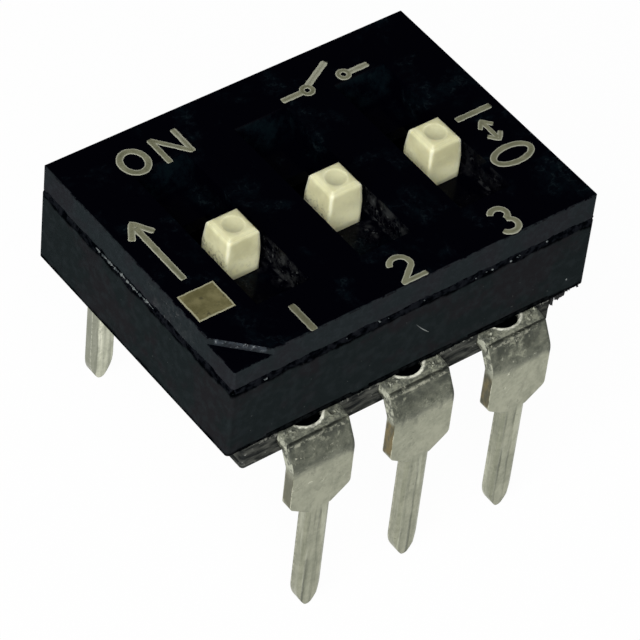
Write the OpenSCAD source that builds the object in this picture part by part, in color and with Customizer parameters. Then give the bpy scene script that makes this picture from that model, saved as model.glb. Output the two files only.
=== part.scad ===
// Three-way slide DIP switch for through-hole boards, with raised actuators.
// Millimetres. +Z is up and z = 0 is the board's surface, which the terminals' shoulders meet.
// +X runs along the row from way 1 to way 3, and +Y points from OFF to ON.
// The sliders are drawn at OFF, and each travels by "travel" towards +Y.

/* [Body] */
// Length of the moulded body, along the row of switches
body_l = 9.12; // [8.6:0.02:12]
// Width of the moulded body, from one row of terminals to the other
body_w = 6.65; // [6.2:0.05:7]
// Radius of the body's upright corners
corner_r = 0.08; // [0.04:0.02:0.5]
// Height of the housing's outer wall
housing_h = 1.80; // [1.6:0.05:2.4]
// Thickness of the base plate that closes the housing from below
base_t = 0.60; // [0.5:0.05:1]
// Height of the base plate's underside over the board
standoff = 1.51; // [1:0.01:2]
// How far the base plate stops short of the housing, at the way-1 end
base_inset_near = 0.41; // [0:0.01:0.6]
// How far the base plate stops short of the housing, at the far end
base_inset_far = 0.85; // [0:0.01:0.85]

/* [Cover] */
// Thickness of the cover's outer rim
cover_t = 0.64; // [0.5:0.02:1]
// Open groove between the cover's rim and the housing's rim
seam = 0.10; // [0.04:0.01:0.2]
// How much narrower the cover is than the housing, on each side
cover_inset = 0.01; // [0:0.01:0.1]
// Slope of the cover's outer faces, in degrees
cover_draft = 1; // [0:0.5:4]
// Width of the finger well round each actuator
well_w = 1.30; // [1.1:0.02:1.5]
// Length of a well at the cover's face
well_l = 4.30; // [3.6:0.05:4.8]
// Depth of a well
well_depth = 0.62; // [0.5:0.01:0.8]
// How much shorter a well is at its floor, at each end
well_slope = 0.29; // [0:0.01:0.6]
// Thickness of the web that floors a well
web_t = 0.32; // [0.25:0.01:0.45]
// Leg of the three-cornered mark sunk at way 1's corner
mark_leg = 0.95; // [0.5:0.05:1.1]
// Depth of that mark
mark_depth = 0.17; // [0.1:0.01:0.3]

/* [Sliders] */
// Travel of a slider from OFF to ON
travel = 0.80; // [0.7:0.01:0.95]
// Width of an actuator knob in its slot, along the row
knob_w = 0.90; // [0.7:0.02:1]
// Length of an actuator knob in its slot, along its travel
knob_l = 0.92; // [0.7:0.02:1]
// How much a knob narrows from its slot to its top, on each side
knob_taper = 0.07; // [0:0.01:0.1]
// Height of a knob above the cover's face
knob_proud = 0.39; // [0.1:0.01:1]
// Diameter of the dish on top of a knob
dish_d = 0.50; // [0.2:0.01:0.6]
// Depth of that dish
dish_depth = 0.07; // [0.02:0.01:0.1]
// Width of the slider's body under the cover
slider_w = 1.74; // [1.5:0.02:1.9]
// Length of the slider's body under the cover
slider_l = 2.70; // [2.5:0.05:2.9]
// Wall of the slider's body
slider_wall = 0.24; // [0.18:0.01:0.3]
// Thickness of the slider's roof, over the spring
slider_roof = 0.30; // [0.2:0.01:0.4]

/* [Terminals] */
// Spacing of the switches along the row
pitch = 2.54; // [2.45:0.01:2.8]
// Spacing of the two rows of pins
row_spacing = 7.62; // [7.3:0.01:9]
// Thickness of the terminal strip
lead_t = 0.27; // [0.2:0.01:0.3]
// Depth of the fixed contacts' faces below the base plate's top
lead_sink = 0.05; // [0.02:0.01:0.1]
// How far outside the housing a terminal is creased
lead_reach = 0.25; // [0.2:0.01:0.3]
// How far below the crease a terminal's second, gentler bend lies
knee_drop = 0.46; // [0.35:0.01:0.6]
// Width of a terminal above its shoulder
lead_w = 1.52; // [1.2:0.02:1.6]
// Width of a pin
pin_w = 0.58; // [0.45:0.01:0.7]
// Length of a pin below the board's surface
pin_len = 3.05; // [2.5:0.01:4]
// Height at which the shoulder's rounded corner meets the shank's side
shoulder_h = 0.42; // [0.3:0.01:0.8]
// Length of the pointed end
point_len = 0.62; // [0.4:0.01:1.2]
// Diameter of the hole punched at the bend
punch_d = 0.88; // [0.5:0.01:0.9]
// Width of the fixed contact inside the housing
pad_w = 1.20; // [0.8:0.02:1.4]

/* [Contact springs] */
// Height of a spring
spring_h = 0.66; // [0.6:0.01:0.8]
// Thickness of the spring strip
spring_t = 0.10; // [0.08:0.01:0.12]
// Width of the spring
spring_w = 1.10; // [0.8:0.02:1.2]
// Width of the slit that splits each arm in two
slit_w = 0.20; // [0.1:0.01:0.3]
// Distance from the slider's centre to each foot
foot_reach = 0.84; // [0.82:0.01:0.86]
// Radius of the feet, at the middle of the strip
foot_r = 0.16; // [0.12:0.01:0.2]

/* [Clearances] */
// Running clearance on each side of a slider in its cell
side_clear = 0.05; // [0.03:0.01:0.08]
// Running clearance between a slider and the web above or the deck below
lift_clear = 0.04; // [0.02:0.01:0.06]
// Clearance between a knob and its slot, at the ends of the travel
stop_clear = 0.03; // [0.02:0.01:0.05]
// Clearance between the cover's plug and the housing's rim
plug_clear = 0.02; // [0.01:0.01:0.05]
// Clearance of a spring's feet over the fixed contacts
foot_clear = 0.02; // [0.01:0.01:0.03]
// Clearance on each side of a terminal in its channel
seat_clear = 0.01; // [0.005:0.005:0.02]

/* [Hidden] */
$fn = 48;
cut = 0.5; // how far a cutter runs past what it cuts
lap = 0.0001; // how far a run of formed strip reaches back into the bend before it

// Heights, from the board up
base_top = standoff + base_t;
housing_top = base_top + housing_h;
cover_low = housing_top + seam;
cover_top = cover_low + cover_t;
well_floor = cover_top - well_depth;
plug_low = well_floor - web_t;
knob_top = cover_top + knob_proud;
rim_edge = 0.015;                  // broken edge round the cover's face

// Terminals: the strip's middle droops outside the wall, is creased, leans out to the knee and drops
deck_top = base_top - lead_sink;   // fixed contacts lie flush in the sunk floor of each cell
droop = 10;
wall_margin = 0.04;                // the strip leaves the wall straight
droop_start = [body_w / 2 + wall_margin, deck_top - lead_t / 2];
crease_x = body_w / 2 + lead_reach;
crease = [crease_x, droop_start.y - (crease_x - droop_start.x) * tan(droop)];
knee = [row_spacing / 2, crease.y - knee_drop];
lean = atan2(knee_drop, knee.x - crease.x);
crease_outer_r = 0.08;
crease_inner_r = 0.03;
droop_r = 0.3;                     // these two at the middle of the strip
knee_r = 0.35;
droop_run = droop_r * tan(droop / 2);         // what each bend takes of the runs beside it
crease_run = (crease_inner_r + lead_t / 2) * tan((lean - droop) / 2);
knee_run = knee_r * tan((90 - lean) / 2);
punch_rim = 0.1;                   // strip left between the hole and the crease
punch_y = crease.x - punch_rim - punch_d / 2;
nose_r = 0.12;                     // rounding of a pin's tip
lead_corner_r = 0.16;              // rounding of a shoulder's corner
coin_w = 0.08;                     // chamfers coined along the outer edges of a pin
coin_depth = 0.04;
near_pad_end = 0.15;               // end of the fixed contact on the OFF side
far_pad_end = 0.75;                // and on the ON side

// Housing
rim_wall = 0.45;
long_wall = 0.72;                  // the walls that the terminals pass under
cell_w = slider_w + 2 * side_clear;
cell_l = body_w - 2 * long_wall;
cell_r = 0.12;
notch_side = 0.30;                 // room beside a terminal in the wall's lower edge
notch_h = 0.13;
notch_depth = 0.22;

// Sliders
off_y = -travel / 2;
slot_w = knob_w + 2 * side_clear;
slot_l = knob_l + travel + 2 * stop_clear;
slider_top = plug_low - lift_clear;
slider_low = deck_top + lift_clear;
foot_low = deck_top + foot_clear;
pocket_top = foot_low + spring_h;
roof_top = pocket_top + slider_roof;
rail_setback = 0.03;               // the rails under the cover's web stand this far back from its slot
trough_w = slot_w + 2 * rail_setback;
knob_corner_r = 0.13;
knob_edge_r = 0.12;
slider_corner_r = 0.10;
stud_d = 0.34;
stud_head_d = 0.46;
stud_head_t = 0.08;
stud_clear = 0.01;                 // round the stud, in the spring's hole

// Contact springs: from the crown, each arm falls at arm_angle to its foot and turns up again
crown_z = pocket_top - spring_t / 2;
arm_angle = 70;
tip_angle = 48;
tip_run = 0.08;
shoulder_r = 0.14;
arm_drop = crown_z - foot_low - spring_t / 2;
arm_run = (arm_drop - (shoulder_r + foot_r) * (1 - cos(arm_angle))) / sin(arm_angle);
arm_reach = arm_run * cos(arm_angle) + (shoulder_r + foot_r) * sin(arm_angle);
crown_half = foot_reach - arm_reach;

function way_x(way) = (way - 2) * pitch;

// Points of an arc, from angle a0 to a1
function arc(centre, radius, a0, a1, steps = 8) =
    [for (i = [0 : steps]) let (a = a0 + (a1 - a0) * i / steps) centre + radius * [cos(a), sin(a)]];

// ---- Shared forms ----

module rounded_rect(l, w, r) {
    square([l - 2 * r, w], center = true);
    square([l, w - 2 * r], center = true);
    for (x = [-1, 1], y = [-1, 1])
        translate([x * (l / 2 - r), y * (w / 2 - r)]) circle(r);
}

module box(x0, x1, y0, y1, z0, z1) {
    translate([x0, y0, z0]) cube([x1 - x0, y1 - y0, z1 - z0]);
}

// Extrudes a YZ outline along X, centred on x = 0
module along_x(l) {
    translate([-l / 2, 0, 0]) rotate([90, 0, 90]) linear_extrude(l) children();
}

// Extrudes an XZ outline along Y, from y = 0 towards +Y
module along_y(l) {
    translate([0, l, 0]) rotate([90, 0, 0]) linear_extrude(l) children();
}

// A straight run of formed strip; what follows starts at its end
module strip_run(length, t) {
    translate([-lap, -t / 2]) square([lap + length, t]);
    translate([length, 0]) children();
}

// A bend in a formed strip, to the left for a positive angle; what follows starts at its end
module strip_bend(radius, angle, t) {
    side = sign(angle);
    reach = 2 * (radius + t);
    mirror([0, side < 0 ? 1 : 0]) translate([0, radius]) intersection() {
        difference() {
            circle(radius + t / 2);
            circle(radius - t / 2);
        }
        polygon([
            [0, 0],
            [0, -reach],
            reach * [sin(abs(angle) / 2), -cos(abs(angle) / 2)],
            reach * [sin(abs(angle)), -cos(abs(angle))]
        ]);
    }
    translate([radius * sin(abs(angle)), side * radius * (1 - cos(angle))]) rotate(angle) children();
}

// A sharp bend to the right in a formed strip, with an outer and an inner radius of its own
module strip_crease(outer_r, inner_r, angle, t) {
    half = t / 2;
    run = (half + inner_r) * tan(angle / 2);
    outer_run = run + (half - outer_r) * tan(angle / 2);
    end = [run * (1 + cos(angle)), -run * sin(angle)];
    polygon(concat(
        arc([0, -half - inner_r], inner_r, 90, 90 - angle, 4),
        [end + half * [sin(angle), cos(angle)]],
        arc([outer_run, half - outer_r], outer_r, 90 - angle, 90, 6),
        [[0, half]]
    ));
    translate(end) rotate(-angle) children();
}

// ---- Cover ----

// Side outline of the cover's rim, for a body of the given size
module rim_outline(size) {
    draft_in = cover_t * tan(cover_draft);
    half = size / 2;
    polygon([
        [-half, cover_low],
        [half, cover_low],
        [half - draft_in, cover_top - rim_edge],
        [half - draft_in - rim_edge, cover_top],
        [-half + draft_in + rim_edge, cover_top],
        [-half + draft_in, cover_top - rim_edge]
    ]);
}

module cover_rim() {
    l = body_l - 2 * cover_inset;
    w = body_w - 2 * cover_inset;
    intersection() {
        translate([0, 0, cover_low]) linear_extrude(cover_t) rounded_rect(l, w, corner_r);
        along_x(body_l) rim_outline(w);
        translate([0, -body_w / 2, 0]) along_y(body_w) rim_outline(l);
    }
}

// The part of the cover that drops inside the housing's rim
module cover_plug() {
    margin = rim_wall + plug_clear;
    translate([0, 0, plug_low]) linear_extrude(cover_low - plug_low)
        rounded_rect(body_l - 2 * margin, body_w - 2 * margin, corner_r);
}

// Finger well with ends that slope in, and the slot through its floor for the knob
module well_cut() {
    top = well_l / 2 + well_slope * cut / well_depth;
    along_x(well_w) polygon([
        [-well_l / 2 + well_slope, well_floor],
        [well_l / 2 - well_slope, well_floor],
        [top, cover_top + cut],
        [-top, cover_top + cut]
    ]);
    translate([0, 0, plug_low - cut]) linear_extrude(web_t + 2 * cut) square([slot_w, slot_l], center = true);
}

module corner_mark_cut() {
    far = mark_leg + cover_inset + cut;
    translate([-body_l / 2 + cover_inset, -body_w / 2 + cover_inset, cover_top - mark_depth])
        linear_extrude(mark_depth + cut)
        polygon([[-cut, -cut], [far, -cut], [-cut, far]]);
}

module cover() {
    color([0.05, 0.05, 0.06]) difference() {
        union() {
            cover_rim();
            cover_plug();
        }
        for (way = [1 : 3]) translate([way_x(way), 0, 0]) well_cut();
        corner_mark_cut();
    }
}

// ---- Housing ----

// Notch in the lower edge of a long wall, over one terminal
module terminal_notch() {
    side = lead_w / 2 + notch_side;
    box(-side, side, body_w / 2 - notch_depth, body_w / 2 + cut, base_top - cut, base_top + notch_h);
}

// The housing is a frame: an outer wall, two cross walls, and a ledge that the cover's plug sits on
module housing() {
    color([0.16, 0.17, 0.18]) difference() {
        translate([0, 0, base_top]) linear_extrude(housing_h) rounded_rect(body_l, body_w, corner_r);
        translate([0, 0, plug_low]) linear_extrude(housing_h)
            rounded_rect(body_l - 2 * rim_wall, body_w - 2 * rim_wall, corner_r);
        for (way = [1 : 3])
            translate([way_x(way), 0, base_top - cut]) linear_extrude(housing_h + cut)
                rounded_rect(cell_w, cell_l, cell_r);
        for (way = [1 : 3], turn = [0, 180])
            rotate(turn) translate([way_x(way), 0, 0]) terminal_notch();
    }
}

// ---- Base plate ----

// Channel that one terminal lies in; "inner" is how near the middle the terminal ends
module terminal_channel(inner) {
    wide = lead_w / 2 + seat_clear;
    pad = pad_w / 2 + seat_clear;
    low = deck_top - lead_t;
    box(-wide, wide, cell_l / 2, body_w / 2 + cut, low, base_top + cut);
    box(-pad, pad, inner - seat_clear, cell_l / 2 + cut, low, base_top + cut);
}

// The plate has a shallow floor sunk in each cell, with the terminals let in flush with it
module base_plate() {
    left = -body_l / 2 + base_inset_near;
    right = body_l / 2 - base_inset_far;
    color([0.20, 0.21, 0.21]) difference() {
        translate([(left + right) / 2, 0, standoff]) linear_extrude(base_t)
            rounded_rect(right - left, body_w, corner_r);
        for (way = [1 : 3]) translate([way_x(way), 0, 0]) {
            translate([0, 0, deck_top]) linear_extrude(lead_sink + cut)
                rounded_rect(cell_w, cell_l, cell_r);
            terminal_channel(far_pad_end);
            rotate(180) terminal_channel(near_pad_end);
        }
    }
}

// ---- Sliders ----

// Square knob that narrows from its slot up, with rounded edges and a dish on top
module knob() {
    foot = roof_top - slider_roof / 2;
    dish_r = (dish_d * dish_d / 4 + dish_depth * dish_depth) / (2 * dish_depth);
    difference() {
        intersection() {
            translate([0, 0, foot]) linear_extrude(knob_top - foot)
                rounded_rect(knob_w, knob_l, knob_corner_r);
            along_x(knob_w + cut) knob_outline(knob_l / 2, foot);
            translate([0, -knob_l / 2 - cut, 0]) along_y(knob_l + 2 * cut) knob_outline(knob_w / 2, foot);
        }
        translate([0, 0, knob_top - dish_depth + dish_r]) sphere(dish_r);
    }
}

// Side outline of a knob
module knob_outline(half, foot) {
    centre = [half - knob_taper - knob_edge_r, knob_top - knob_edge_r];
    side_lean = atan2(knob_taper, centre.y - well_floor);
    polygon(concat(
        [[half, foot], [half, well_floor]],
        arc(centre, knob_edge_r, side_lean, 90, 5),
        arc([-centre.x, centre.y], knob_edge_r, 90, 180 - side_lean, 5),
        [[-half, well_floor], [-half, foot]]
    ));
}

// A tray upside down over the spring, a knob that stands on its roof, and a rail along each side of the knob
module slider(way) {
    color([0.89, 0.88, 0.76]) translate([way_x(way), off_y, 0]) {
        knob();
        difference() {
            translate([0, 0, slider_low]) linear_extrude(slider_top - slider_low)
                rounded_rect(slider_w, slider_l, slider_corner_r);
            translate([0, 0, slider_low - cut]) linear_extrude(pocket_top - slider_low + cut)
                square([slider_w - 2 * slider_wall, slider_l - 2 * slider_wall], center = true);
            box(-trough_w / 2, trough_w / 2, -slider_l, slider_l, roof_top, slider_top + cut);
        }
        translate([0, 0, pocket_top - spring_t]) cylinder(h = spring_t + slider_roof / 2, d = stud_d);
        translate([0, 0, pocket_top - spring_t - stud_head_t]) cylinder(h = stud_head_t, d = stud_head_d);
    }
}

// ---- Contact springs ----

// Side outline of half a spring, from the middle of its crown to the upturned tip
module spring_half() {
    strip_run(crown_half, spring_t)
        strip_bend(shoulder_r, -arm_angle, spring_t)
        strip_run(arm_run, spring_t)
        strip_bend(foot_r, arm_angle + tip_angle, spring_t)
        strip_run(tip_run, spring_t);
}

module contact_spring(way) {
    slit_from = crown_half + shoulder_r;
    color([0.83, 0.68, 0.36]) translate([way_x(way), off_y, 0]) difference() {
        along_x(spring_w) translate([0, crown_z]) {
            spring_half();
            mirror([1, 0]) spring_half();
        }
        for (turn = [0, 180]) rotate(turn)
            box(-slit_w / 2, slit_w / 2, slit_from, slider_l / 2, foot_low - cut, crown_z + cut);
        translate([0, 0, crown_z - spring_t]) cylinder(h = 2 * spring_t, d = stud_d + 2 * stud_clear);
    }
}

// ---- Terminals ----

// Front outline of a terminal: wide shank, rounded sloping shoulder, pin and ogival end
module lead_outline() {
    half = lead_w / 2;
    pin_half = pin_w / 2;
    corner = [half - lead_corner_r, shoulder_h];
    to_corner = corner - [pin_half, 0];
    corner_turn = asin(lead_corner_r / norm(to_corner)) - atan2(to_corner.y, to_corner.x) + 90;
    rise = point_len - nose_r;
    point_z = point_len - pin_len;
    ogive_r = (pow(pin_half, 2) + pow(rise, 2) - pow(nose_r, 2)) / (2 * (pin_half - nose_r));
    side = [pin_half - ogive_r, point_z];
    side_turn = atan2(rise, -side.x);
    polygon(concat(
        [[half, deck_top + cut]],
        arc(corner, lead_corner_r, 0, -corner_turn, 5),
        [[pin_half, 0]],
        arc(side, ogive_r, 0, -side_turn, 6),
        arc([0, nose_r - pin_len], nose_r, -side_turn, side_turn - 180, 8),
        arc([-side.x, side.y], ogive_r, side_turn - 180, -180, 6),
        [[-pin_half, 0]],
        arc([-corner.x, corner.y], lead_corner_r, corner_turn - 180, -180, 5),
        [[-half, deck_top + cut]]
    ));
}

// Cross-section of a coined pin, seen from above, with its outer face towards +Y
module pin_section() {
    half = pin_w / 2;
    outer = row_spacing / 2 + lead_t / 2;
    polygon([
        [-half, outer - lead_t],
        [half, outer - lead_t],
        [half, outer - coin_depth],
        [half - coin_w, outer],
        [coin_w - half, outer],
        [-half, outer - coin_depth]
    ]);
}

// A terminal that leaves the housing towards +Y and turns down to its pin
module terminal(inner) {
    pin_low = -pin_len - cut;
    color([0.68, 0.67, 0.62]) difference() {
        intersection() {
            along_x(lead_w) translate([inner, droop_start.y])
                strip_run(droop_start.x - droop_run - inner, lead_t)
                strip_bend(droop_r, -droop, lead_t)
                strip_run(norm(crease - droop_start) - droop_run - crease_run, lead_t)
                strip_crease(crease_outer_r, crease_inner_r, lean - droop, lead_t)
                strip_run(norm(knee - crease) - crease_run - knee_run, lead_t)
                strip_bend(knee_r, lean - 90, lead_t)
                strip_run(knee.y + pin_len, lead_t);
            along_y(row_spacing) lead_outline();
            union() {
                box(-lead_w, lead_w, 0, row_spacing, 0, deck_top + cut);
                translate([0, 0, pin_low]) linear_extrude(-pin_low) pin_section();
            }
        }
        for (side = [0, 1]) mirror([side, 0, 0])
            box(pad_w / 2, lead_w, inner - cut, cell_l / 2, deck_top - lead_t - cut, deck_top + cut);
        translate([0, punch_y, deck_top - 2 * lead_t]) cylinder(h = 2 * lead_t + cut, d = punch_d);
    }
}

// Ways 1 to 3 on the OFF side, then 4 to 6 back along the ON side
module near_terminal(way) {
    translate([way_x(way), 0, 0]) rotate(180) terminal(near_pad_end);
}

module far_terminal(way) {
    translate([way_x(way), 0, 0]) terminal(far_pad_end);
}

cover();
housing();
base_plate();
slider(1);  // slider_1
slider(2);  // slider_2
slider(3);  // slider_3
contact_spring(1);  // contact_spring_1
contact_spring(2);  // contact_spring_2
contact_spring(3);  // contact_spring_3
near_terminal(1);  // terminal_1
near_terminal(2);  // terminal_2
near_terminal(3);  // terminal_3
far_terminal(3);  // terminal_4
far_terminal(2);  // terminal_5
far_terminal(1);  // terminal_6
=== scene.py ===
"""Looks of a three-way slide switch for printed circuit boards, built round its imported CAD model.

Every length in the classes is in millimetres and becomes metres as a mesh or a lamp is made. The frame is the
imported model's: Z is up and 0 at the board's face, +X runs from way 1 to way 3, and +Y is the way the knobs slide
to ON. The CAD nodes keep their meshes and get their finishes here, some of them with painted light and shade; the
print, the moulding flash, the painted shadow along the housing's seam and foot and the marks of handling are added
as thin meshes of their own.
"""

from __future__ import annotations

import logging
import math
from dataclasses import dataclass, field
from enum import Enum
from functools import reduce

import bpy
import numpy as np
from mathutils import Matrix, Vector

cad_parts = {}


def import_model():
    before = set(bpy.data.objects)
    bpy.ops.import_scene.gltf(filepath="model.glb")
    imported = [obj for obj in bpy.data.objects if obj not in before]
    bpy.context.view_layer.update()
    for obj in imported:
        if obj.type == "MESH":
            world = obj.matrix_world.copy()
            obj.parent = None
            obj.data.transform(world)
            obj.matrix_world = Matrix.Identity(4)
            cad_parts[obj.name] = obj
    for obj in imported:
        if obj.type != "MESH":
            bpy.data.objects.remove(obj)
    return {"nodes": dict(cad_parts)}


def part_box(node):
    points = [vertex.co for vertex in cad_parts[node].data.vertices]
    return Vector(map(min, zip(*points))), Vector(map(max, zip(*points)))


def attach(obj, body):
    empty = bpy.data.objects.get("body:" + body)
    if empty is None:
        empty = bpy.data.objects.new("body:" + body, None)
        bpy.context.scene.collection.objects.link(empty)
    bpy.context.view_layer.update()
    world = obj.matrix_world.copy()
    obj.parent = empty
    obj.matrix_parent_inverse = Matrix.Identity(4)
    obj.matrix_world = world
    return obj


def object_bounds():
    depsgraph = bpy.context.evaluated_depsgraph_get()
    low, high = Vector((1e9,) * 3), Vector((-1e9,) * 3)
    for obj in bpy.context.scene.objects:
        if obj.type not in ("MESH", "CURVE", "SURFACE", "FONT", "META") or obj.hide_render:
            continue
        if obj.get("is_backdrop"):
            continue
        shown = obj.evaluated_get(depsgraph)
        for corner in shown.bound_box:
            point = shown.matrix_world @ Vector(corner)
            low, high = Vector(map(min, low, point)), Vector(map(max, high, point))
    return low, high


MM = 0.001
LOG = logging.getLogger("slide_switch")
Colour = tuple[float, float, float, float]
Socket = bpy.types.NodeSocket


class Way(Enum):
    """The switch's three ways, each with the number printed beside it."""

    ONE = 1
    TWO = 2
    THREE = 3


class Body(Enum):
    """The body that the added pieces ride on."""

    SWITCH = "switch_body"


class Axis(Enum):
    """A direction of the frame, as an index into a vector."""

    X = 0
    Y = 1
    Z = 2


def linear(red: float, green: float, blue: float) -> Colour:
    """Turns a display colour into the linear one that shaders take.

    Args:
        red: Red, 0 to 255.
        green: Green, 0 to 255.
        blue: Blue, 0 to 255.

    Returns:
        The linear colour with an alpha of 1.
    """
    share = np.array([red, green, blue]) / 255.0
    low, high = share / 12.92, ((share + 0.055) / 1.055) ** 2.4
    return (*(float(c) for c in np.where(share <= 0.04045, low, high)), 1.0)


def box_mm(node: str) -> tuple[np.ndarray, np.ndarray]:
    """The lowest and highest corner of a CAD node in millimetres.

    Args:
        node: The node's name.

    Returns:
        Two arrays of three numbers.
    """
    low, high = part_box(node)
    return np.array(low) / MM, np.array(high) / MM


# ---------------------------------------------------------------------------------------------------- surfaces


def wander(length: np.ndarray, waves: tuple[float, ...], seed: int) -> np.ndarray:
    """A smooth irregular line between about -1 and 1.

    It is a sum of sines, one for each wavelength, each with a phase of its own, and a shorter wave counts for
    less, by the square root of its length.

    Args:
        length: Where along the line to work it out.
        waves: The wavelengths, in the same unit.
        seed: Picks the phases.

    Returns:
        One number for each place.
    """
    wavelengths = np.array(waves)
    phases = np.random.default_rng(seed).uniform(0, 2 * np.pi, len(wavelengths))
    weights = np.sqrt(wavelengths / wavelengths.max())
    angle = 2 * np.pi * np.asarray(length, float)[..., None] / wavelengths + phases
    return (np.sin(angle) * weights).sum(-1) / weights.sum()


def bow(centre: tuple[float, float], radii: tuple[float, float], start: float, end: float, points: int) -> np.ndarray:
    """Points on part of an ellipse, with angles in degrees from +X.

    Args:
        centre: The ellipse's middle.
        radii: Its half width and half height.
        start: The first point's angle.
        end: The last point's angle.
        points: How many points.

    Returns:
        An array of points, one a row.
    """
    angle = np.radians(np.linspace(start, end, points))
    return np.array(centre) + np.stack([radii[0] * np.cos(angle), radii[1] * np.sin(angle)], 1)


def straight(start: tuple[float, float], end: tuple[float, float], points: int = 12) -> np.ndarray:
    """Evenly spaced points from one place to another, one a row."""
    share = np.linspace(0, 1, points)[:, None]
    return (1 - share) * np.array(start) + share * np.array(end)


@dataclass(frozen=True)
class Face:
    """A flat face to lay thin things on: where it is, the two ways along it, and the way it looks."""

    origin: tuple[float, float, float]
    across: tuple[float, float, float]
    up: tuple[float, float, float]
    out: tuple[float, float, float]

    def place(self, points: np.ndarray) -> np.ndarray:
        """Carries points from the face to the frame.

        Args:
            points: Rows of (across, up, out) in millimetres.

        Returns:
            Rows of (x, y, z) in metres.
        """
        axes = np.array([self.across, self.up, self.out])
        return (np.array(self.origin) + points @ axes) * MM


@dataclass
class Shell:
    """A closed mesh in the making: its points, in a face's own coordinates, and its faces."""

    points: list[np.ndarray] = field(default_factory=list)
    faces: list[list[int]] = field(default_factory=list)

    def count(self) -> int:
        """How many points it has so far."""
        return sum(len(p) for p in self.points)

    def add(self, points: np.ndarray, faces: list[list[int]]) -> None:
        """Adds points and the faces between them.

        Args:
            points: Rows of three numbers.
            faces: Lists of indices into those rows.
        """
        start = self.count()
        self.points.append(np.asarray(points, float))
        self.faces.extend([[start + i for i in face] for face in faces])

    def piece(self, name: str, face: Face, smooth: bool, finish: bpy.types.Material, body: Body) -> bpy.types.Object:
        """Makes the mesh, lays it on a face of the object and fixes it to a body.

        Args:
            name: The new object's name.
            face: The face that its coordinates belong to.
            smooth: Whether it is shaded smooth.
            finish: Its material.
            body: The body it rides on.

        Returns:
            The new object.
        """
        mesh = bpy.data.meshes.new(name)
        mesh.from_pydata(face.place(np.concatenate(self.points)).tolist(), [], self.faces)
        mesh.polygons.foreach_set("use_smooth", np.full(len(self.faces), smooth))
        mesh.materials.append(finish)
        mesh.update()
        made = bpy.data.objects.new(name, mesh)
        bpy.context.scene.collection.objects.link(made)
        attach(made, body.value)
        return made


def carry(path: np.ndarray, half_width: np.ndarray, height: np.ndarray, power: float = 4.0, sides: int = 8,
          closed: bool = False) -> tuple[np.ndarray, list[list[int]]]:
    """Carries a low domed section along a line that lies on a face.

    The section is half of a superellipse, |across / half_width| ** power + (up / height) ** power = 1, closed
    underneath by a straight line. Its across direction is the path's left-hand normal, found from the difference of
    the neighbouring points. An open path gets a flat cap at both ends.

    Args:
        path: The line's points, one a row, in the face's two coordinates.
        half_width: The section's half width at each point.
        height: The section's height at each point.
        power: How square the dome is.
        sides: How many parts the dome is divided in.
        closed: Whether the line returns to its first point, which isn't repeated.

    Returns:
        The points, and the faces between them.
    """
    if closed:
        along = np.roll(path, -1, 0) - np.roll(path, 1, 0)
    else:
        along = np.gradient(path, axis=0)
    along = along / np.linalg.norm(along, axis=1, keepdims=True)
    normal = np.stack([-along[:, 1], along[:, 0]], 1)
    angle = np.linspace(0, np.pi, sides + 1)
    across = np.sign(np.cos(angle)) * np.abs(np.cos(angle)) ** (2 / power)
    up = np.sin(angle) ** (2 / power)
    flat = path[:, None, :] + normal[:, None, :] * (half_width[:, None] * across)[..., None]
    points = np.concatenate([flat, (height[:, None] * up)[..., None]], 2)
    rings, ring = points.shape[:2]
    first = np.arange(rings if closed else rings - 1)[:, None]
    step = np.arange(ring)[None, :]
    here, there = first * ring, (first + 1) % rings * ring
    after = (step + 1) % ring
    quads = np.stack([here + step, here + after, there + after, there + step], -1).reshape(-1, 4).tolist()
    if not closed:
        quads.append(list(range(ring))[::-1])
        quads.append([(rings - 1) * ring + i for i in range(ring)])
    return points.reshape(-1, 3), quads


def inset(outline: np.ndarray, width: float) -> np.ndarray:
    """Moves an anticlockwise outline inwards.

    Each corner moves along the sum of its two sides' inward normals, divided by one plus their dot product, so that
    both sides move by the width. Sharp corners move less.

    Args:
        outline: The corners, one a row.
        width: How far.

    Returns:
        The moved corners.
    """
    before = outline - np.roll(outline, 1, 0)
    after = np.roll(outline, -1, 0) - outline
    first, second = (np.stack([-side[:, 1], side[:, 0]], 1) / np.linalg.norm(side, axis=1, keepdims=True)
                     for side in (before, after))
    meeting = np.maximum(1 + (first * second).sum(1), 0.7)
    return outline + width * (first + second) / meeting[:, None]


def slab(outline: np.ndarray, height: float, rim: float) -> tuple[np.ndarray, list[list[int]]]:
    """A flat plate of ink with upright edges and a rim that rises to its middle.

    Args:
        outline: Its corners, anticlockwise, one a row.
        height: Its thickness in the middle.
        rim: The rim's width.

    Returns:
        The points, and the faces between them.
    """
    count = len(outline)
    rings = [np.c_[outline, np.zeros(count)], np.c_[outline, np.full(count, 0.7 * height)],
             np.c_[inset(outline, rim), np.full(count, height)]]
    step = np.arange(count)
    after = (step + 1) % count
    walls = [np.stack([step, after, after + count, step + count], 1) + level * count for level in range(2)]
    return np.concatenate(rings), [step[::-1].tolist(), (step + 2 * count).tolist(), *np.concatenate(walls).tolist()]


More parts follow.
